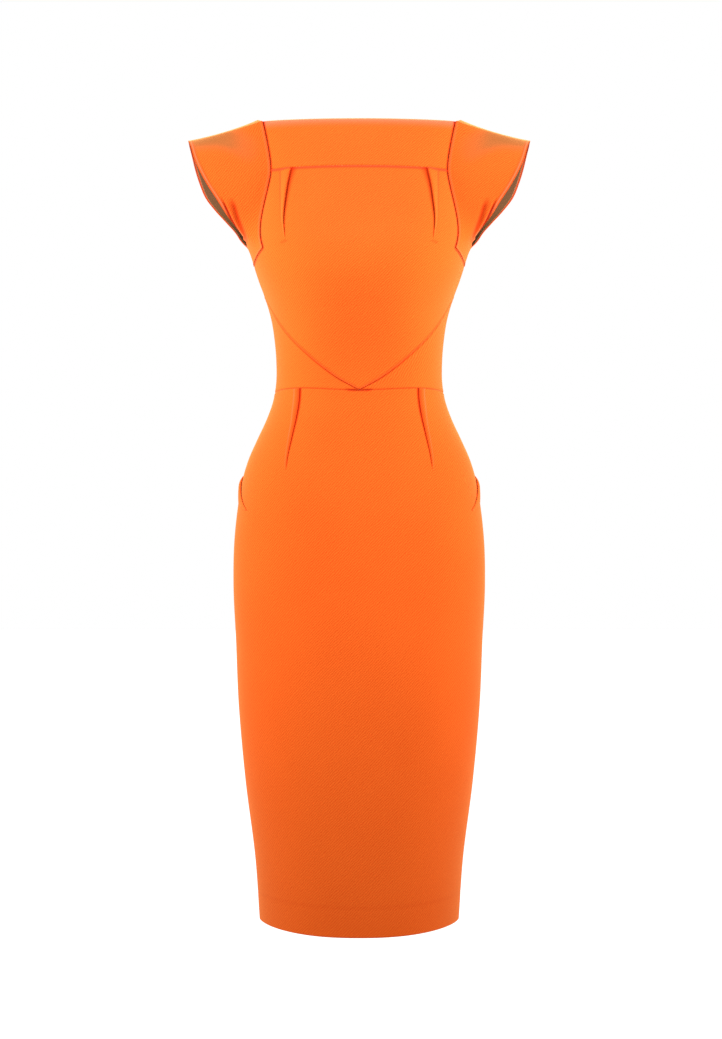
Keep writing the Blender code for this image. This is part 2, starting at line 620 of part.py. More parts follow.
def main():
    """Makes every piece."""
    clear_scene()
    dress = new_collection(COLLECTION)
    cutters = new_collection("cutters")
    cloth("yoke_front", yoke_points(), ORANGE_CREPE, dress, mirrored=True)
    cloth("bodice_front", bodice_front_points(), ORANGE_CREPE, dress, mirrored=True)
    cloth("skirt_front", skirt_front_points(), ORANGE_CREPE, dress, mirrored=True)
    add_pair("midriff", midriff_points(), ORANGE_CREPE, dress)
    add_pair("sleeve", sleeve_shell_points(), ORANGE_CREPE, dress)
    add_pair("sleeve_lining", lining_points(), TAUPE_SATIN, dress, LINING_WALL)
    bodice_back = with_seams(bodice_back_grid(), left=True, right=True, bottom=True)
    add_pair("bodice_back", bodice_back, ORANGE_CREPE, dress)
    skirt_back = with_seams(skirt_back_grid(), left=True, right=True, top=True)
    add_pair("skirt_back", skirt_back, ORANGE_CREPE, dress)
    add_pair("hip_tuck", tuck_points(), ORANGE_CREPE, dress, TUCK_WALL)
    cloth("vent_underlap", vent_points(), ORANGE_CREPE, dress)
    cloth("zip_tape", zip_tape_points(), ORANGE_TAPE, dress, LINING_WALL)
    frame = zip_frame()
    add_slider(frame, dress, cutters)
    add_pull(frame, dress)


main()
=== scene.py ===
"""Looks for a cap sleeve sheath dress: crepe panels with their seams and darts, zip, light and camera.

Laid out as an add-on and run as a script. Every panel is a grid of points worked out on one form, a
stack of flattened ovals, in metres. +Z is up, the front faces -Y and +X is the wearer's left. A turn
is in degrees round the form: 0 at the centre front, 90 at the left side, 180 at the centre back.
"""

import bmesh
import bpy
import numpy as np
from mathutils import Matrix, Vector


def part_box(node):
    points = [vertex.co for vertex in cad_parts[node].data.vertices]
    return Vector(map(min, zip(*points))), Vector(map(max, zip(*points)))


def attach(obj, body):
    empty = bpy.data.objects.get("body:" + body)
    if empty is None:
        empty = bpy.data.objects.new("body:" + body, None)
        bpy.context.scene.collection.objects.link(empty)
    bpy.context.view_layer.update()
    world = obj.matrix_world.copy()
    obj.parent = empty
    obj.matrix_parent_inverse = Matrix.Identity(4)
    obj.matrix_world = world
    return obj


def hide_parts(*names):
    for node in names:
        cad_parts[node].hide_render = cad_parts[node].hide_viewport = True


bl_info = {
    "name": "Sheath dress looks",
    "version": (1, 0, 0),
    "blender": (4, 5, 0),
    "location": "3D View > Sidebar > Dress",
    "description": "Crepe panels, seams, darts, linings, zip and studio for a cap sleeve sheath dress",
    "category": "Object",
}

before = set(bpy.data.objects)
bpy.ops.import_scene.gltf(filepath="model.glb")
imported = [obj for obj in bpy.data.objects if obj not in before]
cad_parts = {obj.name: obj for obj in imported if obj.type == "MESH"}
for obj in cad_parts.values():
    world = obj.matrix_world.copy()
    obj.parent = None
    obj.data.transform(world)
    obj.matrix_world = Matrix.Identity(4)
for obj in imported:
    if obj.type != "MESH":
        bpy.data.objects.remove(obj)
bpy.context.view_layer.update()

MM = 0.001
BODY = "dress"
MARKS = ("line", "band", "shade", "pale")

# Lengths down from the shoulders
NECKLINE = -0.0073
BACK_NECK_DROP = 0.006
YOKE_SEAM = -0.0727
ARMHOLE_CORNER = -0.1748
UNDERARM = -0.1905
WAIST = -0.3537
WAIST_FRONT_DIP = 0.0048
WAIST_SIDE_DIP = 0.0021
VENT_TOP = -0.860
HEM = -1.042
HEM_STITCHES = 0.038

# The form: oval sections, highest first. A depth is measured from the plane of the side seams.
# Columns: height, half width, depth in front, depth behind, power of the width, power of the depth
FORM_ROWS = np.array([
    (0.000, 0.1500, 0.0460, 0.0500, 2.05, 0.50),
    (-0.035, 0.1450, 0.0580, 0.0640, 2.05, 0.50),
    (-0.072, 0.1420, 0.0700, 0.0780, 2.10, 0.50),
    (-0.110, 0.1430, 0.0860, 0.0900, 2.15, 0.50),
    (-0.150, 0.1440, 0.1040, 0.0990, 2.20, 0.50),
    (-0.180, 0.1398, 0.1170, 0.1035, 2.25, 0.50),
    (-0.208, 0.1315, 0.1230, 0.1040, 2.30, 0.50),
    (-0.234, 0.1220, 0.1200, 0.1010, 2.30, 0.50),
    (-0.260, 0.1145, 0.1120, 0.0970, 2.25, 0.50),
    (-0.286, 0.1103, 0.1040, 0.0920, 2.20, 0.50),
    (-0.313, 0.1080, 0.0970, 0.0870, 2.20, 0.50),
    (-0.345, 0.1083, 0.0930, 0.0840, 2.20, 0.50),
    (-0.365, 0.1116, 0.0930, 0.0860, 2.20, 0.50),
    (-0.391, 0.1207, 0.0960, 0.0920, 2.20, 0.50),
    (-0.417, 0.1328, 0.0990, 0.0990, 2.20, 0.50),
    (-0.443, 0.1442, 0.1020, 0.1060, 2.20, 0.50),
    (-0.469, 0.1520, 0.1045, 0.1110, 2.20, 0.50),
    (-0.508, 0.1585, 0.1070, 0.1155, 2.20, 0.50),
    (-0.547, 0.1625, 0.1090, 0.1170, 2.20, 0.51),
    (-0.606, 0.1638, 0.1100, 0.1160, 2.20, 0.53),
    (-0.678, 0.1605, 0.1105, 0.1120, 2.20, 0.56),
    (-0.756, 0.1573, 0.1100, 0.1080, 2.20, 0.58),
    (-0.861, 0.1481, 0.1090, 0.1040, 2.25, 0.62),
    (-0.965, 0.1351, 0.1080, 0.1010, 2.25, 0.66),
    (-1.042, 0.1298, 0.1070, 0.1000, 2.30, 0.70),
])

# Seams on the form: the armhole and its underarm by height and turn, the pointed seam by turn and height
ARMHOLE_ROWS = np.array([
    (-0.0073, 57.0), (-0.0325, 55.3), (-0.0569, 53.5), (-0.0727, 52.8), (-0.0968, 54.8),
    (-0.1201, 57.9), (-0.1435, 60.1), (-0.1593, 60.7), (-0.1673, 60.2), (-0.1748, 59.2),
])
UNDERARM_ROWS = np.array([(-0.1748, 59.2), (-0.1812, 66.8), (-0.1868, 75.0), (-0.1905, 90.0)])
V_SEAM_ROWS = np.array([
    (0.0, -0.3566), (11.0, -0.3446), (23.6, -0.3282), (38.0, -0.3082), (49.3, -0.2925),
    (62.9, -0.2715), (71.2, -0.2575), (79.2, -0.2425), (90.0, -0.2318),
])
V_SEAM_TOP = V_SEAM_ROWS[-1, 1]
V_TIP_TURN = 5.0

# Pressed darts, by height: the turns of the free edge and of the sewn line, and how far the fold stands out
BUST_DART_ROWS = np.array([
    (-0.0727, 36.0, 44.3, 0.0022), (-0.0894, 37.6, 43.7, 0.0026), (-0.1136, 38.8, 42.8, 0.0024),
    (-0.1378, 39.3, 41.7, 0.0018), (-0.1590, 38.8, 40.2, 0.0008), (-0.1687, 38.5, 39.7, 0.0000),
])
SKIRT_DART_ROWS = np.array([
    (-0.3545, 40.7, 47.0, 0.0007), (-0.3800, 39.0, 44.6, 0.0008), (-0.4000, 38.1, 42.0, 0.0007),
    (-0.4192, 37.3, 40.2, 0.0006), (-0.4380, 36.7, 38.6, 0.0005), (-0.4515, 36.2, 37.5, 0.0003),
    (-0.4570, 36.0, 37.0, 0.0000),
])
# Across a dart, from the base beside its free edge, under and over the fold, to its sewn line
# Columns: share of the way, extra turn, share of the lift, bust dart's shadow, skirt dart's shadow, stitch
DART_PROFILE = np.array([
    (-0.50, -0.75, 0.00, 0.00, 0.00, 0.0), (-0.36, -0.55, 0.00, 0.15, 0.00, 0.0),
    (-0.24, -0.40, 0.00, 0.40, 0.00, 0.0), (-0.15, -0.20, -0.02, 0.62, 0.30, 0.0),
    (-0.07, -0.05, -0.04, 0.80, 0.88, 0.0), (0.00, 0.24, -0.04, 0.85, 0.92, 0.0),
    (0.03, 0.30, 0.30, 0.85, 0.92, 0.0), (0.06, 0.06, 0.58, 0.60, 0.92, 0.0),
    (0.09, -0.06, 0.80, 0.10, 0.88, 0.0), (0.13, 0.00, 0.95, 0.00, 0.75, 0.0),
    (0.20, 0.00, 1.00, 0.00, 0.58, 0.0), (0.36, 0.00, 0.84, 0.00, 0.48, 0.0),
    (0.56, 0.00, 0.55, 0.00, 0.34, 0.0), (0.76, 0.00, 0.24, 0.00, 0.18, 0.0),
    (0.90, 0.00, 0.06, 0.00, 0.04, 0.0), (1.00, 0.00, -0.05, 0.00, 0.00, 1.0),
    (1.08, 0.02, -0.02, 0.00, 0.00, 0.4), (1.22, 0.00, 0.00, 0.00, 0.00, 0.0),
])
BUST_SHADOW = 3
SKIRT_SHADOW = 4
BELOW_BUST_DART = (0.60, 0.68)
BELOW_SKIRT_DART = (36.0, 43.0)
BELOW_SKIRT_DART_HEIGHT = -0.560
SHADOW_POWER = 0.3
# A dart's sewn line is a redder painted shade on the bodice, and a painted highlight on the skirt
BODICE_STITCH = 0.6
SKIRT_STITCH = 0.35

# The tack that closes a bust dart's foot, by turn and height, and its dimple in the cloth with painted shade
# in it
BUST_DART_TACK = ((38.2, -0.1712), (41.6, -0.1722))
TACK_REACH = 1.3 * MM
TACK_DEPTH = 0.45 * MM
TACK_LINE = 0.45

# The tuck that laps over each side seam at the hip, by height: the turns of its edges, and its lift
TUCK_ROWS = np.array([
    (-0.4643, 88.0, 95.0, 0.0002), (-0.4700, 84.0, 99.0, 0.0022), (-0.4760, 81.5, 101.0, 0.0028),
    (-0.4833, 78.5, 100.0, 0.0022), (-0.4915, 74.5, 95.0, 0.0014), (-0.4985, 70.5, 84.0, 0.0008),
    (-0.5040, 67.0, 75.0, 0.0004), (-0.5089, 63.5, 67.0, 0.0001),
])
TUCK_WIDTH = 0.04
TUCK_CLEARANCE = 0.7 * MM
# The tuck's line is a painted shadow along its front edge
TUCK_LINE = 0.6
TUCK_LINE_REACH = 0.9 * MM

# Sleeve ribs, from the underarm to the shoulder ridge. Columns: degrees round the oval mouth, height at
# the seam, x of the mouth's front edge and of its back edge, how far the crown goes out and up
RIB_ROWS = np.array([
    (180.0, -0.1905, 0.1450, 0.1450, 0.0000, 0.0000),
    (168.0, -0.1868, 0.1455, 0.1466, 0.0000, 0.0000),
    (160.0, -0.1812, 0.1464, 0.1492, -0.0005, 0.0000),
    (152.0, -0.1748, 0.1490, 0.1528, -0.0010, 0.0000),
    (142.0, -0.1640, 0.1535, 0.1578, -0.0015, 0.0000),
    (130.0, -0.1510, 0.1606, 0.1642, -0.0015, 0.0000),
    (116.0, -0.1340, 0.1712, 0.1765, -0.0010, 0.0000),
    (102.0, -0.1155, 0.1820, 0.1910, 0.0000, 0.0000),
    (88.0, -0.0950, 0.1932, 0.2040, 0.0010, 0.0000),
    (72.0, -0.0727, 0.2040, 0.2122, 0.0020, 0.0000),
    (55.0, -0.0490, 0.2120, 0.2178, 0.0030, 0.0010),
    (38.0, -0.0270, 0.2168, 0.2210, 0.0030, 0.0010),
    (22.0, -0.0073, 0.2203, 0.2230, 0.0020, -0.0020),
    (0.0, 0.0000, 0.2232, 0.2232, 0.0000, -0.0085),
])
SLEEVE_TOP = -0.0268
SLEEVE_BOTTOM = -0.1664
SLEEVE_MOUTH_FRONT = 0.040
SLEEVE_MOUTH_BACK = 0.045
NECK_END_X = 0.1328
NECK_END_POWER = 1.6

# How finely the cloth is cut into lines, and how close they lie beside an edge
ACROSS_SPACING = 0.0045
FINE_SPACING = 0.0008
YOKE_ROW_SPACING = 0.003
BODICE_ROW_SPACING = 0.0026
DART_FOOT_SPACING = 0.002
BACK_ROW_SPACING = 0.004
HIP_ROW_SPACING = 0.0036
THIGH_ROW_SPACING = 0.006
KNEE_ROW_SPACING = 0.0045
SLEEVE_SPACING = 0.0014
TUCK_ROW_SPACING = 0.0012
TUCK_COLUMN_SPACING = 0.0022
INNER_COLUMNS = 22
RIDGE_COLUMNS = 25
ROLL_ROWS = 9
FOLD_ROWS = 7
EDGE_GAPS = np.array([0.0, 0.35, 0.7, 1.1, 1.6, 2.2, 3.0, 4.2, 6.0]) * MM
WELD = 0.00001

# Rounded lengths of the cloth, which those spacings are shares of
DART_TO_SIDE = 0.11
QUARTER_ROUND = 0.150
MIDRIFF_SIDE = 0.05
SLEEVE_LENGTH = 0.075
BACK_WIDTH = 0.110

# How many points the seams' curves have, and how many points are measured to one at a time
ARMHOLE_POINTS = 90
UNDERARM_POINTS = 40
YOKE_POINTS = 200
HALF_ROUND_POINTS = 361
ROUND_POINTS = 721
TIP_POINTS = 31
SIDE_POINTS = 300
CENTRE_POINTS = 400
FLAT_CURVE_POINTS = 24
MEASURED_AT_ONCE = 4000

# Seam profiles: how far the cloth goes in or out at the seam, over what distance and how squarely,
# how strong its line is and how wide, and how far from the seam the line lies
PLAIN, OVER, UNDER, POINTED, TUCKED, ARMHOLE, TIP = (
    "plain", "over", "under", "pointed", "tucked", "armhole", "tip")
# Columns: depth, reach, power of the bell, band's share, line's share, line's reach, where the line is
# A band is a redder painted shade over a lap, and a line a painted shade beside the seam
SEAM_PROFILE = {
    PLAIN: (-0.55 * MM, 0.9 * MM, 2.0, 0.0, 0.60, 0.8 * MM, 0.0),
    OVER: (0.70 * MM, 3.2 * MM, 4.0, 1.0, 0.00, 1.0 * MM, 0.0),
    UNDER: (-0.75 * MM, 1.1 * MM, 2.0, 0.0, 0.60, 0.9 * MM, 0.0),
    POINTED: (0.55 * MM, 1.9 * MM, 4.0, 0.45, 0.25, 0.7 * MM, 2.3 * MM),
    TUCKED: (-0.75 * MM, 1.1 * MM, 2.0, 0.0, 0.70, 1.0 * MM, 0.5 * MM),
    ARMHOLE: (-0.50 * MM, 3.0 * MM, 4.0, 0.0, 1.00, 1.45 * MM, 2.0 * MM),
    TIP: (-0.30 * MM, 1.0 * MM, 2.0, 0.0, 1.00, 1.6 * MM, 0.0),
}

# How far round the tip of the point reaches, and the powers of the bells with a squarer top
TIP_TURN = 5.5
BAND_POWER = 6.0
EDGE_POWER = 4.0

# The puff beside a plain seam
PUFFED = (PLAIN, UNDER, TUCKED)
PUFF = 0.22 * MM
PUFF_AT = 3.2 * MM
PUFF_REACH = 1.8 * MM

# The rolled neckline, the hem and the layers inside the cloth
NECK_ROLL = 7.0 * MM
NECK_ROLL_END = 14.0 * MM
NECK_RISE = 2.6 * MM
# How far down the rolled neckline's painted highlight reaches
NECK_HIGHLIGHT_REACH = 13.0 * MM
LINING_DEPTH = 1.2 * MM
LAYER_GAP = 0.35 * MM
FOLD_THICKNESS = 2.4 * MM
FOLD_BEYOND = 0.6
NECK_FACING = 30 * MM
WAIST_BLEND = 0.06
HEM_STITCH_REACH = 1.6 * MM
HEM_STITCH_DEPTH = 0.16 * MM
HEM_STITCH_LINE = 0.1
HEM_FOLD_REACH = 2.2 * MM
HEM_FOLD_DEPTH = 0.8 * MM
HEM_FOLD_LINE = 0.35

# Where the vent's underlap and the zip's tape begin round the back, the walls of the tucks and the
# tape, and the least area of a cut, as a share of its width times its length
UNDERLAP_TURN = 157
TAPE_TURN = 174.5
TUCK_WALL = 0.8 * MM
TAPE_WALL = 0.6 * MM
LEAST_AREA = 0.31

# The sleeve's lap over the bodice and its lines beside the seam and the mouth: lines and band are painted
# shade, pale ones painted highlights. A row of bells is a strength, a distance from the edge and a reach.
LAP_WIDTH = 1.3 * MM
LAP_REACH = 4.0 * MM
SLEEVE_LAP_RISE = 0.72 * MM
LAP_LINES = ((0.14, 4.6 * MM, 0.8 * MM),)
LAP_HIGHLIGHTS = ((0.15, 1.6 * MM, 1.0 * MM),)
LAP_SHADE_BAND = 0.3
LAP_SHADE_BAND_REACH = 1.8 * MM
MOUTH_LINES = ((0.6, 0.0, 1.0 * MM), (0.4, 4.2 * MM, 0.8 * MM))
MOUTH_HIGHLIGHTS = ((0.6, 2.4 * MM, 0.9 * MM),)
SLEEVE_LINING_DEPTH = 1.25 * MM
SLEEVE_LINING_COLUMNS = slice(7, -5)

# The sleeve's drag folds: curve, reach, depth and strength of the line of painted shade in the crease.
# The curves, like that of the painted shade under the ridge, are given by x and z, as the front shows them.
DRAG_FOLDS = (
    (((0.1775, -0.1060), (0.1640, -0.1340), (0.1510, -0.1560)), 1.6 * MM, 2.0 * MM, 1.00),
    (((0.1640, -0.1070), (0.1550, -0.1360), (0.1460, -0.1600)), 3.6 * MM, 1.5 * MM, 0.75),
)
DRAG_FADE = 12 * MM
DRAG_SWELL = 0.75
DRAG_SWELL_REACH = 3.2
DRAG_CREASE = 1.3
FRONT_BLEND = 4 * MM
# Where the painted shade under the ridge lies, its reach, its strength and how it fades along the ridge
RIDGE_SHADE = (
    (0.2100, -0.0265), (0.1850, -0.0256), (0.1690, -0.0290), (0.1550, -0.0350), (0.1400, -0.0440))
RIDGE_SHADE_REACH = 17.0 * MM
RIDGE_SHADE_STRENGTH = 0.82
RIDGE_SHADE_ALONG = ((0.125, 0.145, 0.168, 0.188), (0.1, 0.5, 0.9, 1.0))

# Camera and picture; the sensor is in millimetres
PICTURE_HEIGHT_PX = 1039
METRES_PER_PIXEL = 0.001305
CAMERA_DISTANCE = 2.3
CAMERA_HEIGHT = -0.5207
CAMERA_ASIDE = 0.0023
SENSOR = 36.0

# Floor and lamps
FLOOR = -1.42
FLOOR_REACH = 12.0
FLOOR_WHITE = (0.93, 0.93, 0.93)
SIDE_LAMP = (1.45, -0.52, 0.12)
FRONT_LAMP = (0.0, -1.5, -0.55)
BACK_LAMP = (0.0, 1.25, 0.75)
SHOULDERS = (0.0, 0.0, -0.05)
MIDDLE = (0.0, 0.0, -0.33)
LAMP_SIZE = 0.9
LAMP_SPREAD = np.radians(80)
FRONT_SPREAD = np.radians(70)

# The crepe's twill: how far its ribs wander sideways, in radians, and how often in one spacing. Then
# what its ribs and its grain add to its height, and what they and its broad unevenness add to its tone,
# with how much darker it is all over
TWILL_BREAK = 6.5
TWILL_WANDER = 0.45
CREPE_HEIGHT = (0.25, 0.8)
CREPE_TONE = (0.42, 1.1, 0.4, 0.12)
CREPE_BROAD = 9.0
PEBBLE_HEIGHT = 0.35
TWILL_DIRECTION = (np.sqrt(0.5), -np.sqrt(0.5), 0.0)

# The satin: its threads to the metre each way, how dark its hollows are, what its weave and its broad
# unevenness add to its tone, and how often it is uneven. Then the tape's ribs and the enamel's specks.
SATIN_THREADS = (1400, 500, 1)
SATIN_DARK = 0.72
SATIN_TONE = (0.5, 0.6)
SATIN_BROAD = 25.0
TAPE_RIBS = 320.0
ENAMEL_SPECKS = 900.0
ENAMEL_WEAR = 3.0


# ---- Shapes ----

def smooth_column(rows, key_column, value_column, at):
    """Reads one column of a table at any key: a cubic between rows that keeps the mean slope at each."""
    order = np.argsort(rows[:, key_column])
    keys = rows[order, key_column]
    values = rows[order, value_column]
    at = np.clip(at, keys[0], keys[-1])
    slopes = np.gradient(values, keys)
    row = np.clip(np.searchsorted(keys, at, side="right") - 1, 0, len(keys) - 2)
    span = keys[row + 1] - keys[row]
    t = (at - keys[row]) / span
    start = (2 * t**3 - 3 * t**2 + 1) * values[row] + (t**3 - 2 * t**2 + t) * span * slopes[row]
    end = (3 * t**2 - 2 * t**3) * values[row + 1] + (t**3 - t**2) * span * slopes[row + 1]
    return start + end


def form_point(turn, height):
    """The form's point: x = half width |sin turn|^(2/p), y = depth |cos turn|^(2 r), each with its sign."""
    turn, height = np.broadcast_arrays(np.asarray(turn, float), np.asarray(height, float))
    half_width, front, back, across, rounding = (
        smooth_column(FORM_ROWS, 0, column, height) for column in range(1, FORM_ROWS.shape[1])
    )
    sine = np.sin(np.radians(turn))
    cosine = np.cos(np.radians(turn))
    x = half_width * np.sign(sine) * np.abs(sine) ** (2 / across)
    y = -np.where(cosine >= 0, front, back) * np.sign(cosine) * np.abs(cosine) ** (2 * rounding)
    return np.stack([x, y, height], axis=-1)


def armhole_turn(height):
    """How far round the armhole seam lies at a height: down the front, then out to the side."""
    upper = smooth_column(ARMHOLE_ROWS, 0, 1, height)
    lower = np.interp(-np.asarray(height), -UNDERARM_ROWS[:, 0], UNDERARM_ROWS[:, 1])
    return np.where(np.asarray(height) >= ARMHOLE_CORNER, upper, lower)


def waist_height(turn):
    """The waist seam dips at the centres by the cosine's 8th power and at the sides by the sine's 12th."""
    angle = np.radians(turn)
    return WAIST - WAIST_FRONT_DIP * np.cos(angle) ** 8 - WAIST_SIDE_DIP * np.sin(angle) ** 12


def v_seam_height(turn):
    """The pointed seam's height; within V_TIP_TURN of the centre it runs down to meet the waist seam."""
    turn = np.abs(turn)
    height = smooth_column(V_SEAM_ROWS, 0, 1, turn)
    share = np.clip(1 - turn / V_TIP_TURN, 0, 1) ** 2
    return height + share * (waist_height(0.0) - V_SEAM_ROWS[0, 1])


def v_seam_turn(height):
    """The pointed seam read the other way: how far round it lies at a height."""
    turns = np.linspace(0, 90, ROUND_POINTS)
    return np.interp(height, v_seam_height(turns), turns)


def normals_of(points):
    """Outward unit normals of a grid: across its columns times up its rows."""
    across = np.gradient(points, axis=1)
    up = np.gradient(points, axis=0)
    normals = np.cross(across, up)
    length = np.linalg.norm(normals, axis=-1, keepdims=True)
    return normals / np.maximum(length, 1e-12)


def lines(start, end, spacing, close_start=False, close_end=False):
    """Positions from start to end about a spacing apart, closing up beside an end that is an edge."""
    length = abs(end - start)
    gaps = EDGE_GAPS[EDGE_GAPS < length / 3]
    first = gaps[-1] if close_start else 0.0
    last = length - gaps[-1] if close_end else length
    count = max(2, int(round((last - first) / spacing)) + 1)
    inner = np.linspace(first, last, count)
    if close_start:
        inner = np.concatenate([gaps[:-1], inner])
    if close_end:
        inner = np.concatenate([inner, length - gaps[-2::-1]])
    return start + inner * np.sign(end - start)


def share_lines(length, spacing, close_start=False, close_end=False):
    """Shares of a length, from 0 to 1, about a spacing apart."""
    return lines(0, length, spacing, close_start, close_end) / length


def joined_lines(*runs):
    """Runs of positions end to end, without the ones they share."""
    return np.concatenate([runs[0]] + [run[1:] for run in runs[1:]])


def both_sides(half, flip):
    """A half's columns with their mirror before them; flip is -1 for turns and 1 for lifts."""
    return np.concatenate([flip * half[:, :0:-1], half], axis=1)


def other_side(points):
    """The same grid on the wearer's other side, still facing out."""
    return points[:, ::-1] * (-1, 1, 1)


def distance_to(points, curve):
    """Each point's distance to a curve: the least of its distances to the curve's straight segments."""
    flat = points.reshape(-1, 3)
    start = curve[:-1]
    along = curve[1:] - start
    length2 = np.maximum(np.sum(along**2, axis=-1), 1e-14)
    best = np.full(len(flat), np.inf)
    for low in range(0, len(flat), MEASURED_AT_ONCE):
        some = slice(low, low + MEASURED_AT_ONCE)
        part = flat[some, None] - start
        t = np.clip(np.sum(part * along, axis=-1) / length2, 0, 1)
        best[some] = np.sqrt(np.sum((part - t[..., None] * along) ** 2, axis=-1)).min(axis=1)
    return best.reshape(points.shape[:-1])


def bell(distance, reach, power=2.0):
    """1 at no distance, falling off as exp of minus the power of distance over reach."""
    return np.exp(-(distance / reach) ** power)


def bells(distance, rows):
    """A sum of bells, each with its strength, the distance it stands at and its reach."""
    return sum(strength * bell(distance - at, reach) for strength, at, reach in rows)


class Seams:
    """The seam curves, as points on the form."""

    def __init__(self):
        heights = joined_lines(
            np.linspace(NECKLINE, ARMHOLE_CORNER, ARMHOLE_POINTS),
            np.linspace(ARMHOLE_CORNER, UNDERARM, UNDERARM_POINTS))
        turns = np.linspace(-90, 90, HALF_ROUND_POINTS)
        round_turns = np.linspace(-180, 180, ROUND_POINTS)
        tip_turns = np.linspace(-TIP_TURN, TIP_TURN, TIP_POINTS)
        yoke_turn = armhole_turn(YOKE_SEAM)
        self.armhole_front = form_point(armhole_turn(heights), heights)
        self.armhole_back = form_point(180 - armhole_turn(heights), heights)
        self.yoke = form_point(np.linspace(-yoke_turn, yoke_turn, YOKE_POINTS), YOKE_SEAM)
        self.pointed = form_point(turns, v_seam_height(turns))
        self.waist = form_point(round_turns, waist_height(round_turns))
        self.tip = form_point(tip_turns, waist_height(tip_turns))
        self.side = form_point(90.0, np.linspace(UNDERARM, HEM, SIDE_POINTS))
        self.centre_back = form_point(180.0, np.linspace(0, HEM, CENTRE_POINTS))

    @staticmethod
    def right(curve):
        """A left curve's twin on the wearer's right."""
        return curve * (-1, 1, 1)


def seam_finish(points, roles):
    """Moves the cloth in and out beside its seams, and says where their lines and bands show.

    For each seam, the move along the normal is depth times a bell of the distance to it, plus a small
    puff beside it on plain seams. A line is a narrow bell of painted shade, and a band is a redder painted
    shade over the whole lap of an edge that lies over its neighbour.
    """
    normals = normals_of(points)
    move = np.zeros(points.shape[:2])
    line = np.zeros_like(move)
    band = np.zeros_like(move)
    for curve, role in roles:
        distance = distance_to(points, curve)
        depth, reach, power, band_share, line_share, line_reach, line_at = SEAM_PROFILE[role]
        move += depth * bell(distance, reach, power)
        if role in PUFFED:
            move += PUFF * bell(np.abs(distance - PUFF_AT), PUFF_REACH)
        band = np.maximum(band, band_share * bell(distance, reach, BAND_POWER))
        line = np.maximum(line, line_share * bell(distance - line_at, line_reach))
    return points + normals * move[..., None], line, band


def dart_columns(rows, heights, shadow_column):
    """Turns, lifts, shadow and stitch marks across a dart, a row for each height."""
    free, sewn, lift = (smooth_column(rows, 0, column, heights)[:, None] for column in (1, 2, 3))
    lift = np.where(heights[:, None] < rows[-1, 0], 0.0, np.maximum(lift, 0.0))
    size = np.clip(lift / rows[0, 3], 0, 1)
    share, extra, lift_share, stitch = DART_PROFILE[:, (0, 1, 2, 5)].T
    shadow = DART_PROFILE[:, shadow_column]
    flat = free + share * (sewn - free)
    shown = size**SHADOW_POWER
    return flat, extra * size, lift * lift_share, shadow * shown, stitch * shown


# ---- Panels ----

class Panel:
    """A cloth's points and what its material needs to know about them.

    Where the rows lie level on the flat cloth, grain is the column that its grain runs along. The last
    facing_rows are an edge turned under, and the first outer_rows are the cloth outside it.
    """

    def __init__(self, points, line=None, band=None, shade=None, pale=None, lining=None, grain=None):
        empty = np.zeros(points.shape[:2])
        self.points = points
        self.marks = [empty if mark is None else mark for mark in (line, band, shade, pale)]
        self.lining = lining
        self.grain = grain
        self.outer_rows = len(points)
        self.facing_rows = 0

    def twin(self):
        """The same panel on the wearer's other side."""
        flipped = [mark[:, ::-1] for mark in self.marks]
        lining = None if self.lining is None else other_side(self.lining)
        grain = None if self.grain is None else -1 - self.grain
        return Panel(other_side(self.points), *flipped, lining, grain)

    def measures(self):
        """Each point's place on the flat cloth: along its row from the grain, and up its column.

        The grain is the column nearest the mid-line where none is named. Where one is, every row is as
        far up as it is there.
        """
        steps = np.diff(self.points, axis=1, prepend=self.points[:, :1])
        across = np.cumsum(np.linalg.norm(steps, axis=-1), axis=1)
        steps = np.diff(self.points, axis=0, prepend=self.points[:1])
        up = np.cumsum(np.linalg.norm(steps, axis=-1), axis=0)
        if self.grain is None:
            nearest = np.abs(self.points[..., 0]).mean(axis=0).argmin()
            return across - across[:, nearest, None], up
        return across - across[:, self.grain, None], np.broadcast_to(up[:, self.grain, None], up.shape)

    def moved(self, distance, rows=slice(None), columns=slice(None)):
        """Part of the panel's points moved out along its normals, as another layer."""
        points = self.points + normals_of(self.points) * distance
        return Panel(*(layer[rows][:, columns] for layer in (points, *self.marks)))

    def turned_under(self, depth, thickness=FOLD_THICKNESS):
        """The panel with its last rows folded back inside it.

        The fold is half an oval about a line half the thickness inside the edge: its centre plus half
        the thickness times the cosine along the normal and a share of the sine beyond the edge. Below
        it come the panel's own rows again, moved in by the thickness.
        """
        points = self.points
        normals = normals_of(points)
        edge, outward = points[-1], normals[-1]
        beyond = points[-1] - points[-2]
        beyond /= np.maximum(np.linalg.norm(beyond, axis=-1, keepdims=True), 1e-9)
        half = 0.5 * thickness
        angles = np.linspace(0, np.pi, FOLD_ROWS)[1:-1, None, None]
        turned = np.cos(angles) * outward + FOLD_BEYOND * np.sin(angles) * beyond
        fold = edge - outward * half + half * turned
        reach = np.linalg.norm(np.diff(points[::-1], axis=0), axis=-1).mean(axis=1).cumsum()
        rows = int(np.searchsorted(reach, depth)) + 1
        inner = (points - normals * thickness)[::-1][:rows]
        plain = np.zeros((len(fold) + len(inner), points.shape[1]))
        marks = [np.concatenate([mark, plain]) for mark in self.marks]
        folded = Panel(np.concatenate([points, fold, inner]), *marks, grain=self.grain)
        folded.facing_rows = rows
        folded.outer_rows = len(points)
        return folded


def front_roles(seams):
    """What both armholes do to the front pieces."""
    return [(seams.armhole_front, ARMHOLE), (seams.right(seams.armhole_front), ARMHOLE)]


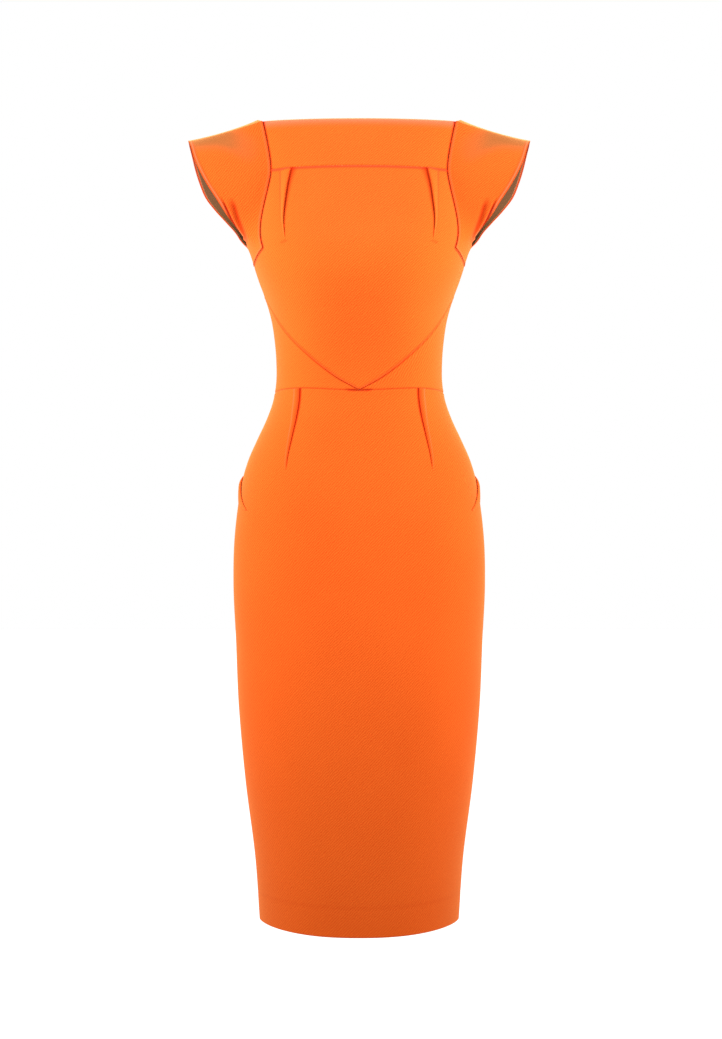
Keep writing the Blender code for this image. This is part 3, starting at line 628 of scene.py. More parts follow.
def yoke_panel(seams):
    """The front yoke: turns in shares of the armhole's, from the yoke seam up to a rolled neckline."""
    heights = joined_lines(
        lines(YOKE_SEAM, NECKLINE - NECK_ROLL, YOKE_ROW_SPACING, True, False), roll_heights(NECKLINE))
    width = np.abs(form_point(armhole_turn(YOKE_SEAM), YOKE_SEAM)[0])
    half = share_lines(width, ACROSS_SPACING, False, True)
    share = np.concatenate([-half[:0:-1], half])
    points = form_point(share * armhole_turn(heights)[:, None], heights[:, None])
    points, line, band = seam_finish(points, [(seams.yoke, UNDER)] + front_roles(seams))
    rolled = with_neck_roll(points, heights, width * (1 - np.abs(share)))
    # The neckline's pale mark is a painted highlight on its roll
    return Panel(rolled, line, band, pale=neck_highlight(points)).turned_under(NECK_FACING)


def neck_highlight(points):
    """How much painted highlight the neckline's edge gets: the square of how near its top a point is."""
    return np.clip(1 - (points[..., 2].max(axis=0) - points[..., 2]) / NECK_HIGHLIGHT_REACH, 0, 1) ** 2


def roll_heights(top):
    """Rows up a rolled edge, at even turns of its quarter circle."""
    return top - NECK_ROLL * (1 - np.sin(np.linspace(0, 0.5 * np.pi, ROLL_ROWS)))


def with_neck_roll(points, heights, from_end):
    """Rolls the top of a piece back along a quarter circle, and less towards an end that is sewn in."""
    rise = np.clip(1 - (NECKLINE - heights) / NECK_ROLL, 0, 1)
    back = NECK_ROLL * (1 - np.sqrt(np.maximum(1 - rise**2, 0)))
    share = np.clip(from_end / NECK_ROLL_END, 0, 1)
    share = share * share * (3 - 2 * share)
    move = -normals_of(points) * (back[:, None] * share)[..., None]
    move[..., 2] += NECK_RISE * rise[:, None] ** 2 * share
    return points + move


def outer_shares():
    """Shares of the way from a dart to the side, where a half's outer columns lie."""
    return share_lines(DART_TO_SIDE, ACROSS_SPACING, False, True)[1:]


def beside_dart(dart, edge):
    """A half's columns: evenly out to its dart, the dart's own, then on to the edge."""
    inner = np.linspace(0, 1, INNER_COLUMNS)[:-1] * dart[:, :1]
    outer = dart[:, -1:] + outer_shares() * (edge - dart[:, -1:])
    return np.hstack([inner, dart, outer])


def darted(turns, levels, folds):
    """Both sides of a piece with a pressed dart after its inner columns, and the flat points that line it.

    In the dart's columns the extra turns take the cloth back under its own fold, and the lifts raise it.
    """
    layers = []
    first = INNER_COLUMNS - 1
    for values in folds:
        layer = np.zeros_like(turns)
        layer[:, first:first + values.shape[1]] = values
        layers.append(layer)
    extra, lift, shadow, stitch = layers
    flat = form_point(both_sides(turns, -1), levels)
    folded = form_point(both_sides(turns + extra, -1), levels)
    normals = normals_of(flat)
    points = folded + normals * both_sides(lift, 1)[..., None]
    return points, both_sides(shadow, 1), both_sides(stitch, 1), flat - normals * LINING_DEPTH


def bodice_front_panel(seams):
    """The front bodice: rows at constant heights, out to the pointed seam, the side or the armhole."""
    tip = float(waist_height(0.0))
    dart_end = BUST_DART_ROWS[-1, 0]
    heights = joined_lines(
        lines(tip, V_SEAM_TOP, BODICE_ROW_SPACING), lines(V_SEAM_TOP, UNDERARM, BODICE_ROW_SPACING),
        lines(UNDERARM, ARMHOLE_CORNER, FINE_SPACING), lines(ARMHOLE_CORNER, dart_end, DART_FOOT_SPACING),
        lines(dart_end, YOKE_SEAM, BODICE_ROW_SPACING, False, True))
    edge = np.where(heights < V_SEAM_TOP, v_seam_turn(heights), 90.0)
    edge = np.where(heights >= UNDERARM, armhole_turn(heights), edge)[:, None]
    dart, *folds = dart_columns(BUST_DART_ROWS, heights, BUST_SHADOW)
    low, high = BELOW_BUST_DART
    even = np.concatenate([
        np.linspace(0, low, INNER_COLUMNS)[:-1], np.linspace(low, high, dart.shape[1]),
        high + outer_shares() * (1 - high)])
    blend = np.clip((dart_end - heights) / (dart_end - V_SEAM_TOP), 0, 1)[:, None]
    turns = beside_dart(dart, edge) * (1 - blend) + even * edge * blend
    points, shadow, stitch, lining = darted(turns, heights[:, None], folds)
    roles = [
        (seams.yoke, OVER), (seams.pointed, POINTED), (seams.tip, TIP), (seams.side, PLAIN),
        (seams.right(seams.side), PLAIN)]
    finished, line, band = seam_finish(points, roles + front_roles(seams))
    tack = form_point(*np.array(BUST_DART_TACK).T)
    for curve in (tack, seams.right(tack)):
        near = bell(distance_to(points, curve), TACK_REACH)
        finished -= normals_of(points) * (TACK_DEPTH * near)[..., None]
        line = np.maximum(line, TACK_LINE * near)
    # The dart's shadow joins the painted shade lines, and its sewn line the redder painted shade
    marks = (np.maximum(line, shadow), np.maximum(band, BODICE_STITCH * stitch))
    return Panel(finished, *marks, lining=lining, grain=finished.shape[1] // 2)


def midriff_panel(seams):
    """The left midriff: each column rises from the waist seam to the pointed seam above it."""
    turns = share_lines(QUARTER_ROUND, ACROSS_SPACING, False, True) * 90
    share = share_lines(MIDRIFF_SIDE, BODICE_ROW_SPACING, True, True)[:, None]
    bottom = waist_height(turns)
    points = form_point(turns, bottom + share * (v_seam_height(turns) - bottom))
    roles = [(seams.pointed, TUCKED), (seams.waist, PLAIN), (seams.tip, TIP), (seams.side, PLAIN)]
    return Panel(*seam_finish(points, roles))


def skirt_heights():
    """A skirt's rows, hem first."""
    return joined_lines(
        lines(HEM, VENT_TOP, KNEE_ROW_SPACING, True, False),
        lines(VENT_TOP, BELOW_SKIRT_DART_HEIGHT, THIGH_ROW_SPACING),
        lines(BELOW_SKIRT_DART_HEIGHT, WAIST, HIP_ROW_SPACING, False, True))


def skirt_levels(heights, turns):
    """Each point's height: the row's own, bent near the top to follow the waist seam."""
    share = np.clip((heights - WAIST) / WAIST_BLEND + 1, 0, 1)[:, None] ** 2
    return heights[:, None] + share * (waist_height(turns) - WAIST)


def hem_finish(points, line):
    """The hem: its edge folds in, and painted shade lines its fold and its stitches round the skirt."""
    height = points[..., 2]
    stitches = bell(np.abs(height - HEM - HEM_STITCHES), HEM_STITCH_REACH)
    fold = np.clip(1 - (height - HEM) / HEM_FOLD_REACH, 0, 1) ** 2
    inward = HEM_STITCH_DEPTH * stitches + HEM_FOLD_DEPTH * fold
    points = points - normals_of(points) * inward[..., None]
    return points, np.maximum(line, HEM_STITCH_LINE * stitches + HEM_FOLD_LINE * fold)


def skirt_front_panel(seams):
    """The front skirt: columns follow the darts, then spread out below them."""
    heights = skirt_heights()
    dart, *folds = dart_columns(SKIRT_DART_ROWS, heights, SKIRT_SHADOW)
    dart_end = SKIRT_DART_ROWS[-1, 0]
    blend = np.clip((dart_end - heights) / (dart_end - BELOW_SKIRT_DART_HEIGHT), 0, 1)[:, None]
    dart = dart * (1 - blend) + np.linspace(*BELOW_SKIRT_DART, dart.shape[1]) * blend
    turns = beside_dart(dart, 90)
    levels = skirt_levels(heights, both_sides(turns, -1))
    points, shadow, stitch, lining = darted(turns, levels, folds)
    roles = [(seams.waist, PLAIN), (seams.tip, TIP), (seams.side, PLAIN), (seams.right(seams.side), PLAIN)]
    points, line, band = seam_finish(points, roles)
    points, line = hem_finish(points, np.maximum(line, shadow))
    # The skirt dart's sewn line gets a painted highlight
    return Panel(points, line, band, pale=SKIRT_STITCH * stitch, lining=lining)


def back_turns():
    """A back piece's columns, from the side seam to the centre back."""
    return 90 + share_lines(QUARTER_ROUND, ACROSS_SPACING, True, True) * 90


def bodice_back_panel(seams):
    """The left back bodice: rows from the waist seam up past the armhole to the back neckline."""
    heights = joined_lines(
        lines(WAIST, UNDERARM, BACK_ROW_SPACING, True, False),
        lines(UNDERARM, ARMHOLE_CORNER, FINE_SPACING),
        lines(ARMHOLE_CORNER, NECKLINE - NECK_ROLL, BACK_ROW_SPACING), roll_heights(NECKLINE))
    edge = np.where(heights >= UNDERARM, 180 - armhole_turn(heights), 90.0)[:, None]
    share = (back_turns() - 90) / 90
    turns = edge + share * (180 - edge)
    high = np.clip((heights - UNDERARM) / (NECKLINE - UNDERARM), 0, 1)[:, None] ** 2
    level = heights[:, None] - BACK_NECK_DROP * high * share * (2 - share)
    low = np.clip(1 - (heights - WAIST) / WAIST_BLEND, 0, 1)[:, None] ** 2
    level = level + low * (waist_height(turns) - WAIST)
    roles = [
        (seams.armhole_back, ARMHOLE), (seams.waist, PLAIN), (seams.side, PLAIN), (seams.centre_back, PLAIN)]
    points, line, band = seam_finish(form_point(turns, level), roles)
    rolled = with_neck_roll(points, heights, share * BACK_WIDTH)
    # The neckline's pale mark is a painted highlight on its roll
    return Panel(rolled, line, band, pale=neck_highlight(points), grain=-1).turned_under(NECK_FACING)


def skirt_back_panel(seams):
    """The left back skirt, from the side seam to the zip and the vent."""
    heights = skirt_heights()
    turns = np.broadcast_to(back_turns(), (len(heights), len(back_turns())))
    points = form_point(turns, skirt_levels(heights, turns))
    roles = [(seams.waist, PLAIN), (seams.side, PLAIN), (seams.centre_back, PLAIN)]
    lining = points - normals_of(points) * LINING_DEPTH
    points, line, band = seam_finish(points, roles)
    points, line = hem_finish(points, line)
    return Panel(points, line, band, lining=lining)


def sleeve_grid(shares, heights, steps):
    """The left sleeve: each rib is a parabola from the armhole seam to the oval mouth, over a crown.

    At a share s along it, a rib is (1 - s)^2 of the seam, 2 s (1 - s) of the crown and s^2 of the mouth.
    """
    front = form_point(armhole_turn(heights), heights)
    back = form_point(180 - armhole_turn(heights), heights)[::-1]
    column = steps[:, None]
    corner = np.where(column < 0, front[-1], back[0])
    x = NECK_END_X + (corner[:, :1] - NECK_END_X) * column**2
    rise = np.abs(column) ** NECK_END_POWER * corner[:, 2:]
    seam = np.vstack([front, np.hstack([x, np.abs(column) * corner[:, 1:2], rise]), back])
    arm = smooth_column(RIB_ROWS, 1, 0, heights)
    around = np.concatenate([-arm, smooth_column(RIB_ROWS, 1, 0, NECKLINE) * steps, arm[::-1]])
    turn = np.abs(around)
    front_x, back_x, crown_out, crown_up = (smooth_column(RIB_ROWS, 0, c, turn) for c in (2, 3, 4, 5))
    is_front = around <= 0
    out = np.where(is_front, -1.0, 1.0)
    middle = (SLEEVE_TOP + SLEEVE_BOTTOM) / 2
    mouth_z = middle + (SLEEVE_TOP - SLEEVE_BOTTOM) / 2 * np.cos(np.radians(turn))
    depth = np.where(is_front, SLEEVE_MOUTH_FRONT, SLEEVE_MOUTH_BACK)
    mouth_y = out * depth * np.sin(np.radians(turn))
    mouth = np.stack([np.where(is_front, front_x, back_x), mouth_y, mouth_z], axis=-1)
    crown = np.stack([0 * out, out * crown_out, crown_up], axis=-1)
    control = ((seam + mouth) / 2 + crown)[:, None]
    share = shares[None, :, None]
    seam, mouth = seam[:, None], mouth[:, None]
    return (1 - share) ** 2 * seam + 2 * share * (1 - share) * control + share**2 * mouth


def ring_normals(points):
    """Normals of a grid whose first row is also its last."""
    wrapped = np.concatenate([points[-2:-1], points, points[1:2]])
    return normals_of(wrapped)[1:-1]


def flat_distance(points, curve):
    """Each point's distance to a curve given by x and z, as seen from the front."""
    knots = np.array(curve)
    along = np.linspace(0, len(knots) - 1, FLAT_CURVE_POINTS)
    x, z = (np.interp(along, np.arange(len(knots)), places) for places in knots.T)
    return distance_to(points * (1, 0, 1), np.stack([x, 0 * along, z], axis=-1))


def sleeve_lap(heights, steps):
    """Points beyond the sleeve's seam, a lap's width on over the bodice; none at the neck's ends."""
    seam = sleeve_grid(np.zeros(1), heights, steps)[:, 0]
    width = form_point(90.0, heights)[:, 0]
    turn = armhole_turn(heights)
    step = np.degrees(LAP_WIDTH / width)
    front = form_point(turn - step, heights)
    back = form_point(180 - turn + step, heights)[::-1]
    fade = np.clip((UNDERARM - heights) / (UNDERARM - ARMHOLE_CORNER), 0, 1)[:, None]
    count = len(heights)
    lap = seam.copy()
    lap[:count] += (front - seam[:count]) * fade
    lap[-count:] += (back - seam[-count:]) * fade[::-1]
    return lap


def sleeve_panel():
    """The left cap sleeve, with its lapped armhole edge, its drag folds and its turned mouth."""
    heights = joined_lines(
        lines(UNDERARM, ARMHOLE_CORNER, SLEEVE_SPACING), lines(ARMHOLE_CORNER, NECKLINE, SLEEVE_SPACING))
    steps = np.linspace(-1, 1, RIDGE_COLUMNS)[1:-1]
    points = sleeve_grid(share_lines(SLEEVE_LENGTH, SLEEVE_SPACING, True, True), heights, steps)
    from_seam = distance_to(points, points[:, 0])
    from_mouth = distance_to(points, points[:, -1])
    is_front = np.clip(-points[..., 1] / FRONT_BLEND, 0, 1)
    whole = np.ones(len(heights))
    below_ridge = np.concatenate([whole, np.abs(steps) ** 4, whole])[:, None]
    lapped = SLEEVE_LAP_RISE * below_ridge
    move = lapped * bell(from_seam, LAP_REACH)
    # The mouth's lines are painted shade along its turned edge
    line = bells(from_mouth, MOUTH_LINES)
    for curve, reach, depth, strength in DRAG_FOLDS:
        distance = flat_distance(points, curve)
        along = np.clip((curve[0][1] - points[..., 2]) / DRAG_FADE, 0, 1) * is_front
        crease = bell(distance, reach) * along
        swell = DRAG_SWELL * bell(distance, DRAG_SWELL_REACH * reach) * along
        move += depth * (swell - DRAG_CREASE * crease)
        # A drag fold's line is painted shade in its crease
        line = np.maximum(line, strength * crease)
    normals = ring_normals(points)
    points = points + normals * move[..., None]
    lap = sleeve_lap(heights, steps)[:, None] + normals[:, :1] * lapped[..., None]
    # The shade mark is painted shade just under the shoulder ridge, where the crown turns from the lamps
    shade = RIDGE_SHADE_STRENGTH * bell(flat_distance(points, RIDGE_SHADE), RIDGE_SHADE_REACH, EDGE_POWER)
    shade = shade * is_front * np.interp(points[..., 0], *RIDGE_SHADE_ALONG)
    # Pale marks are painted highlights along the turned mouth and on the lap beside the seam
    pale = bells(from_mouth, MOUTH_HIGHLIGHTS) + bells(from_seam, LAP_HIGHLIGHTS) * below_ridge
    # The lap's lines are painted shade beside the seam, and its own edge a full line of it
    line = np.maximum(line, bells(from_seam, LAP_LINES) * below_ridge)
    # The band is a redder painted shade on the lap along the seam
    band = LAP_SHADE_BAND * bell(from_seam, LAP_SHADE_BAND_REACH, EDGE_POWER) * below_ridge
    layers = [np.concatenate([layer[:, :1], layer], axis=1) for layer in (line, band, shade, pale)]
    layers[0][:, 0] = np.maximum(layers[0][:, 0], below_ridge[:, 0])
    return Panel(np.concatenate([lap, points], axis=1), *layers, grain=points.shape[1] // 2)


def lining_panel(sleeve):
    """The sleeve's lining: its sleeve's points moved in, from near the seam to just inside the mouth."""
    points = sleeve.points - ring_normals(sleeve.points) * (SLEEVE_LINING_DEPTH + LAYER_GAP)
    return Panel(points[:, SLEEVE_LINING_COLUMNS], grain=points.shape[1] // 2)


def tuck_panel():
    """The left hip tuck: the skirt's own points moved out, most along its front edge."""
    heights = lines(TUCK_ROWS[-1, 0], TUCK_ROWS[0, 0], TUCK_ROW_SPACING)
    front, back, lift = (smooth_column(TUCK_ROWS, 0, column, heights)[:, None] for column in (1, 2, 3))
    share = share_lines(TUCK_WIDTH, TUCK_COLUMN_SPACING, True, False)
    points = form_point(front + share * (back - front), heights[:, None])
    raised = np.maximum(lift, 0) * np.minimum(np.sin(np.pi * np.sqrt(share)), 1.0)
    points = points + normals_of(points) * (TUCK_CLEARANCE + raised)[..., None]
    # A painted shadow along the tuck's front edge
    line = TUCK_LINE * bell(share * TUCK_WIDTH, TUCK_LINE_REACH) * np.ones_like(lift)
    return Panel(points, line)


# ---- Meshes ----

def shell_faces(index):
    """Faces of a grid with a lining behind it: the grid's, the lining's turned round, and a rim of them."""
    count = index.size
    outer = np.stack([index[:-1, :-1], index[:-1, 1:], index[1:, 1:], index[1:, :-1]], axis=-1).reshape(-1, 4)
    loop = np.concatenate([index[0, :-1], index[:-1, -1], index[-1, :0:-1], index[:0:-1, 0]])
    ahead = np.roll(loop, -1)
    rim = np.stack([ahead, loop, loop + count, ahead + count], axis=-1)
    return outer, outer[:, ::-1] + count, rim


def grid_mesh(name, panel):
    """A panel's grid as a mesh, with its measures in metres as a UV map and its marks as attributes."""
    points = panel.points
    index = np.arange(points[..., 0].size).reshape(points.shape[:2])
    outer, inner, rim = shell_faces(index)
    measures = np.stack(panel.measures(), axis=-1).reshape(-1, 2)
    places, faces, marks = points.reshape(-1, 3), outer, np.array([mark.ravel() for mark in panel.marks])
    if panel.lining is not None:
        places = np.vstack([places, panel.lining.reshape(-1, 3)])
        faces = np.vstack([outer, inner, rim])
        measures = np.vstack([measures, measures])
        marks = np.hstack([marks, np.zeros_like(marks)])
    mesh = bpy.data.meshes.new(name)
    mesh.from_pydata(places, [], faces)
    uv = mesh.uv_layers.new(name="cloth")
    uv.data.foreach_set("uv", measures[faces.ravel()].astype(np.float32).ravel())
    for mark, values in zip(MARKS, marks):
        attribute = mesh.attributes.new(mark, "FLOAT", "POINT")
        attribute.data.foreach_set("value", values.astype(np.float32))
    if panel.lining is not None:
        above_hem = places[inner].mean(axis=1)[:, 2] > HEM + HEM_STITCHES
        is_lining = np.concatenate([np.zeros(len(outer)), above_hem, np.zeros(len(rim))])
        mesh.polygons.foreach_set("material_index", is_lining.astype(np.int32))
    welded = bmesh.new()
    welded.from_mesh(mesh)
    bmesh.ops.remove_doubles(welded, verts=welded.verts, dist=WELD)
    bmesh.ops.dissolve_degenerate(welded, edges=welded.edges, dist=WELD)
    welded.to_mesh(mesh)
    welded.free()
    mesh.shade_smooth()
    return mesh


def add_object(name, data):
    """Puts an object with its data into the scene."""
    made = bpy.data.objects.new(name, data)
    bpy.context.scene.collection.objects.link(made)
    return made


def add_cloth(name, panel, node, materials, wall):
    """Adds a piece of cloth in place of a CAD node: its grid and a wall inside it, and works out its area."""
    mesh = grid_mesh(name, panel)
    for material in materials:
        mesh.materials.append(material)
    piece = add_object(name, mesh)
    if panel.lining is None:
        solidify = piece.modifiers.new("wall", "SOLIDIFY")
        solidify.thickness = wall
        solidify.offset = -1
        solidify.material_offset = len(materials) - 1
        solidify.material_offset_rim = 0
    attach(piece, BODY)
    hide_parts(node)
    across, up = (float(np.ptp(measure)) for measure in panel.measures())
    corners = panel.points[:-1, :-1], panel.points[:-1, 1:], panel.points[1:, :-1]
    area = np.linalg.norm(np.cross(corners[1] - corners[0], corners[2] - corners[0]), axis=-1).sum()
    area = float(np.clip(area, LEAST_AREA * across * up, across * up))


# ---- Materials ----

# A mix node's sockets for colours, which share their names with its others
MIX_FACTOR, MIX_FIRST, MIX_SECOND, MIX_RESULT = 0, 6, 7, 2


class Sum:
    """A shader value: Python's arithmetic on it adds the Math nodes."""

    def __init__(self, shader, socket):
        self.shader = shader
        self.socket = socket

    def _with(self, operation, first, second):
        return Sum(self.shader, self.shader.node(
            "ShaderNodeMath", {"operation": operation}, {0: first, 1: second}).outputs[0])

    def __add__(self, other):
        return self._with("ADD", self, other)

    __radd__ = __add__

    def __sub__(self, other):
        return self._with("SUBTRACT", self, other)

    def __rsub__(self, other):
        return self._with("SUBTRACT", other, self)

    def __mul__(self, other):
        return self._with("MULTIPLY", self, other)

    __rmul__ = __mul__

    def __pow__(self, other):
        return self._with("POWER", self, other)

    def sine(self):
        """The sine of the value in radians."""
        return self._with("SINE", self, 0.0)


class Shader:
    """A material under construction, with the fixed values of its surface."""

    def __init__(self, name, colour, values):
        self.material = bpy.data.materials.new(name)
        self.material.use_nodes = True
        self.material.diffuse_color = rgba(colour)
        self.tree = self.material.node_tree
        self.surface = self.tree.nodes["Principled BSDF"]
        for key, value in values.items():
            self.surface.inputs[key].default_value = value

    def node(self, kind, settings=None, inputs=None):
        """Adds a node: its settings first, then the values or links of its inputs."""
        made = self.tree.nodes.new(kind)
        for key, value in (settings or {}).items():
            setattr(made, key, value)
        for key, value in (inputs or {}).items():
            if isinstance(value, Sum):
                value = value.socket
            if isinstance(value, bpy.types.NodeSocket):
                self.tree.links.new(value, made.inputs[key])
            else:
                made.inputs[key].default_value = value
        return made

    def value(self, node, output=0):
        """One of a node's outputs, ready for arithmetic."""
        return Sum(self, node.outputs[output])

    def mix(self, factor, first, second):
        """A colour between two, by a factor."""
        made = self.node("ShaderNodeMix", {"data_type": "RGBA"}, {
            MIX_FACTOR: factor, MIX_FIRST: first, MIX_SECOND: second})
        return made.outputs[MIX_RESULT]

    def mark(self, name):
        """A mesh attribute as a value."""
        return self.value(self.node("ShaderNodeAttribute", {"attribute_name": name}), "Fac")

    def finish(self, colour, height, distance, strength):
        """Connects the colour and the bump."""
        bump = self.node("ShaderNodeBump", None, {
            "Strength": strength, "Distance": distance, "Height": height})
        self.tree.links.new(colour, self.surface.inputs["Base Color"])
        self.tree.links.new(bump.outputs[0], self.surface.inputs["Normal"])
        return self.material


def rgba(colour):
    """A colour with full alpha."""
    return (*colour, 1.0)


def cloth_measure(shader):
    """Where a point lies on its flat cloth, in metres."""
    return shader.node("ShaderNodeUVMap", {"uv_map": "cloth"}).outputs[0]


def noise(shader, scale, vector=None, detail=2.0, roughness=0.5):
    """Noise of a scale, over the object's own space where no vector is given."""
    vector = vector or shader.node("ShaderNodeTexCoord").outputs["Object"]
    return shader.value(shader.node("ShaderNodeTexNoise", None, {
        "Vector": vector, "Scale": scale, "Detail": detail, "Roughness": roughness}))


def crepe_material(settings):
    """Wool crepe: a pebbled twill, a little uneven, painted shade on seams and laps, painted highlights on
    edges.
    """
    shader = Shader("wool_crepe", settings.crepe, {
        "Roughness": 0.88, "Specular IOR Level": 0.0, "Sheen Weight": settings.sheen,
        "Sheen Roughness": 0.42, "Sheen Tint": rgba(settings.sheen_colour)})
    measure = cloth_measure(shader)
    across_twill = shader.node(
        "ShaderNodeVectorMath", {"operation": "DOT_PRODUCT"}, {0: measure, 1: TWILL_DIRECTION})
    wander = noise(shader, TWILL_WANDER / settings.twill, measure, detail=1.0)
    ribs = (shader.value(across_twill, "Value") * (2 * np.pi / settings.twill) + wander * TWILL_BREAK).sine()
    grain = noise(shader, 1 / settings.pebble, measure, roughness=0.7)
    broad = noise(shader, CREPE_BROAD)
    ribs_height, grain_height = CREPE_HEIGHT
    ribs_tone, grain_tone, broad_tone, darker = CREPE_TONE
    tone = ribs * ribs_tone + grain * grain_tone + broad * broad_tone - darker
    colour = shader.mix(tone, rgba(settings.crepe_dark), rgba(settings.crepe))
    # Band and line are painted shade, shade the painted shade under the ridge, pale the painted highlights
    for factor, over in (
            (shader.mark("band") * settings.band_strength, settings.band),
            (shader.mark("shade"), settings.shade), (shader.mark("pale"), settings.pale),
            (shader.mark("line") * settings.line_strength, settings.seam_line)):
        colour = shader.mix(factor, colour, rgba(over))
    height = ribs * ribs_height + grain * grain_height
    return shader.finish(colour, height, distance=PEBBLE_HEIGHT * settings.pebble, strength=0.35)


def lining_material(settings):
    """Lining satin: a very fine weave, a little uneven in tone."""
    shader = Shader("lining_satin", settings.lining, {"Roughness": 0.6, "Specular IOR Level": 0.15})
    stretched = shader.node("ShaderNodeMapping", None, {
        "Vector": cloth_measure(shader), "Scale": SATIN_THREADS})
    weave = noise(shader, 1.0, stretched.outputs[0])
    weave_tone, broad_tone = SATIN_TONE
    tone = weave * weave_tone + noise(shader, SATIN_BROAD) * broad_tone
    dark = tuple(SATIN_DARK * channel for channel in settings.lining)
    colour = shader.mix(tone, rgba(dark), rgba(settings.lining))
    return shader.finish(colour, weave, distance=0.2 * MM, strength=0.4)


def tape_material(settings):
    """Zip tape: fine diagonal ribs in the dress's colour."""
    shader = Shader("woven_tape", settings.crepe_dark, {"Roughness": 0.75})
    ribs = shader.value(shader.node("ShaderNodeTexWave", {"bands_direction": "DIAGONAL"}, {
        "Vector": cloth_measure(shader), "Scale": TAPE_RIBS, "Distortion": 0.3}), "Fac")
    colour = shader.mix(ribs, rgba(settings.crepe_dark), rgba(settings.crepe))
    return shader.finish(colour, ribs, distance=0.3 * MM, strength=0.6)


def enamel_material(settings):
    """Dyed enamel on the zip's metal, worn a little brighter in specks."""
    shader = Shader("dyed_enamel", settings.crepe_dark, {
        "Roughness": 0.5, "Specular IOR Level": 0.1, "Coat Weight": 0.05, "Coat Roughness": 0.2})
    specks = noise(shader, ENAMEL_SPECKS, detail=3.0)
    colour = shader.mix(specks ** ENAMEL_WEAR, rgba(settings.crepe_dark), rgba(settings.crepe))
    return shader.finish(colour, specks, distance=0.1 * MM, strength=0.3)


def floor_material():
    """The floor's plain white, which glows a little of its own."""
    white = rgba(FLOOR_WHITE)
    return Shader("floor", FLOOR_WHITE, {
        "Roughness": 0.9, "Base Color": white, "Emission Color": white, "Emission Strength": 0.3}).material


# ---- Settings, operators and panel ----

def colour_setting(name, description, default):
    """A colour that a user may change."""
    return bpy.props.FloatVectorProperty(
        name=name, description=description, default=default, subtype="COLOR", size=3, min=0.0, max=1.0)


def share_setting(name, description, default):
    """A share from 0 to 1 that a user may change."""
    return bpy.props.FloatProperty(
        name=name, description=description, default=default, min=0.0, max=1.0, subtype="FACTOR")


def length_setting(name, description, default):
    """A length that a user may change."""
    return bpy.props.FloatProperty(
        name=name, description=description, default=default, min=0.0002, unit="LENGTH")


def power_setting(name, description, default):
    """A lamp's power that a user may change."""
    return bpy.props.FloatProperty(
        name=name, description=description, default=default, min=0.0, unit="POWER")


class ClothSettings(bpy.types.PropertyGroup):
    """Colours and sizes of the cloth."""

    crepe: colour_setting("Crepe", "The crepe's own colour", (0.41, 0.063, 0.0072))
    crepe_dark: colour_setting("Crepe hollows", "The crepe between its pebbles", (0.335, 0.034, 0.0034))
    # Colour of the redder painted shade over laps and the bust darts' sewn lines
    band: colour_setting("Lapped edge", "Where an edge laps over its neighbour", (0.40, 0.022, 0.0072))
    # Colour of the painted shade lines of seams, darts, creases and edges
    seam_line: colour_setting("Seam line", "The shaded line of a seam", (0.235, 0.005, 0.0006))
    # Colour of the painted shade under the shoulder ridge
    shade: colour_setting("Shade", "Painted shade under the shoulder ridge", (0.125, 0.052, 0.015))
    # Colour of the painted highlights on rolled edges, lips and sewn lines
    pale: colour_setting("Painted highlight", "The crepe painted paler where an edge catches light", (0.43, 0.085, 0.050))
    lining: colour_setting("Lining", "The sleeve's lining satin", (0.120, 0.050, 0.017))
    sheen_colour: colour_setting("Sheen", "The crepe's fuzz seen along the surface", (1.0, 0.42, 0.15))
    sheen: share_setting("Sheen", "How strong the fuzz is", 0.55)
    band_strength: share_setting("Lap strength", "How far a lapped edge differs", 0.85)
    line_strength: share_setting("Line strength", "How far a seam line differs", 0.95)
    pebble: length_setting("Pebble", "Size of the weave's pebbles", 0.0015)
    twill: length_setting("Twill", "Spacing of the weave's diagonal ribs", 0.0026)
    crepe_wall: length_setting("Crepe wall", "Thickness of the crepe", 0.0011)
    lining_wall: length_setting("Lining wall", "Thickness of the lining", 0.0005)


class StageSettings(bpy.types.PropertyGroup):
    """The studio round the dress."""

    room: bpy.props.FloatProperty(
        name="Room", description="Brightness of the white room", default=1.0, min=0.0, subtype="UNSIGNED")
    side_power: power_setting("Side lights", "Power of each light at the dress's sides", 21.0)
    front_power: power_setting("Front light", "Power of the light in front", 1.9)
    back_power: power_setting("Back light", "Power of the light behind", 9.0)


def cloth_settings():
    """The scene's cloth settings."""
    return bpy.context.scene.dress_cloth


def material_once(name, maker):
    """A material by its name, made when it is first asked for."""
    found = bpy.data.materials.get(name)
    return found or maker(cloth_settings())


def crepe():
    """The crepe."""
    return material_once("wool_crepe", crepe_material)


def satin():
    """The lining satin."""
    return material_once("lining_satin", lining_material)


def add_crepe(name, panel, node):
    """Adds a crepe piece lined with satin."""
    add_cloth(name, panel, node, [crepe(), satin()], cloth_settings().crepe_wall)


def sides(panel):
    """A left panel and its twin on the right, each with the name of its side."""
    return (("left", panel), ("right", panel.twin()))


class DRESS_OT_front(bpy.types.Operator):
    """Adds the yoke, the pointed front bodice and the two midriffs"""

    bl_idname = "dress.front"
    bl_label = "Front bodice"

    def execute(self, context):
        """Adds the pieces."""
        seams = Seams()
        add_crepe("front_yoke", yoke_panel(seams), "yoke_front")
        add_crepe("front_bodice", bodice_front_panel(seams), "bodice_front")
        for side, panel in sides(midriff_panel(seams)):
            add_crepe(f"{side}_midriff", panel, f"midriff_{side}")
        return {"FINISHED"}


class DRESS_OT_skirt(bpy.types.Operator):
    """Adds the front skirt and its hip tucks"""

    bl_idname = "dress.skirt"
    bl_label = "Front skirt"

    def execute(self, context):
        """Adds the pieces."""
        add_crepe("front_skirt", skirt_front_panel(Seams()), "skirt_front")
        for side, panel in sides(tuck_panel()):
            add_cloth(f"{side}_hip_tuck", panel, f"hip_tuck_{side}", [crepe()], TUCK_WALL)
        return {"FINISHED"}


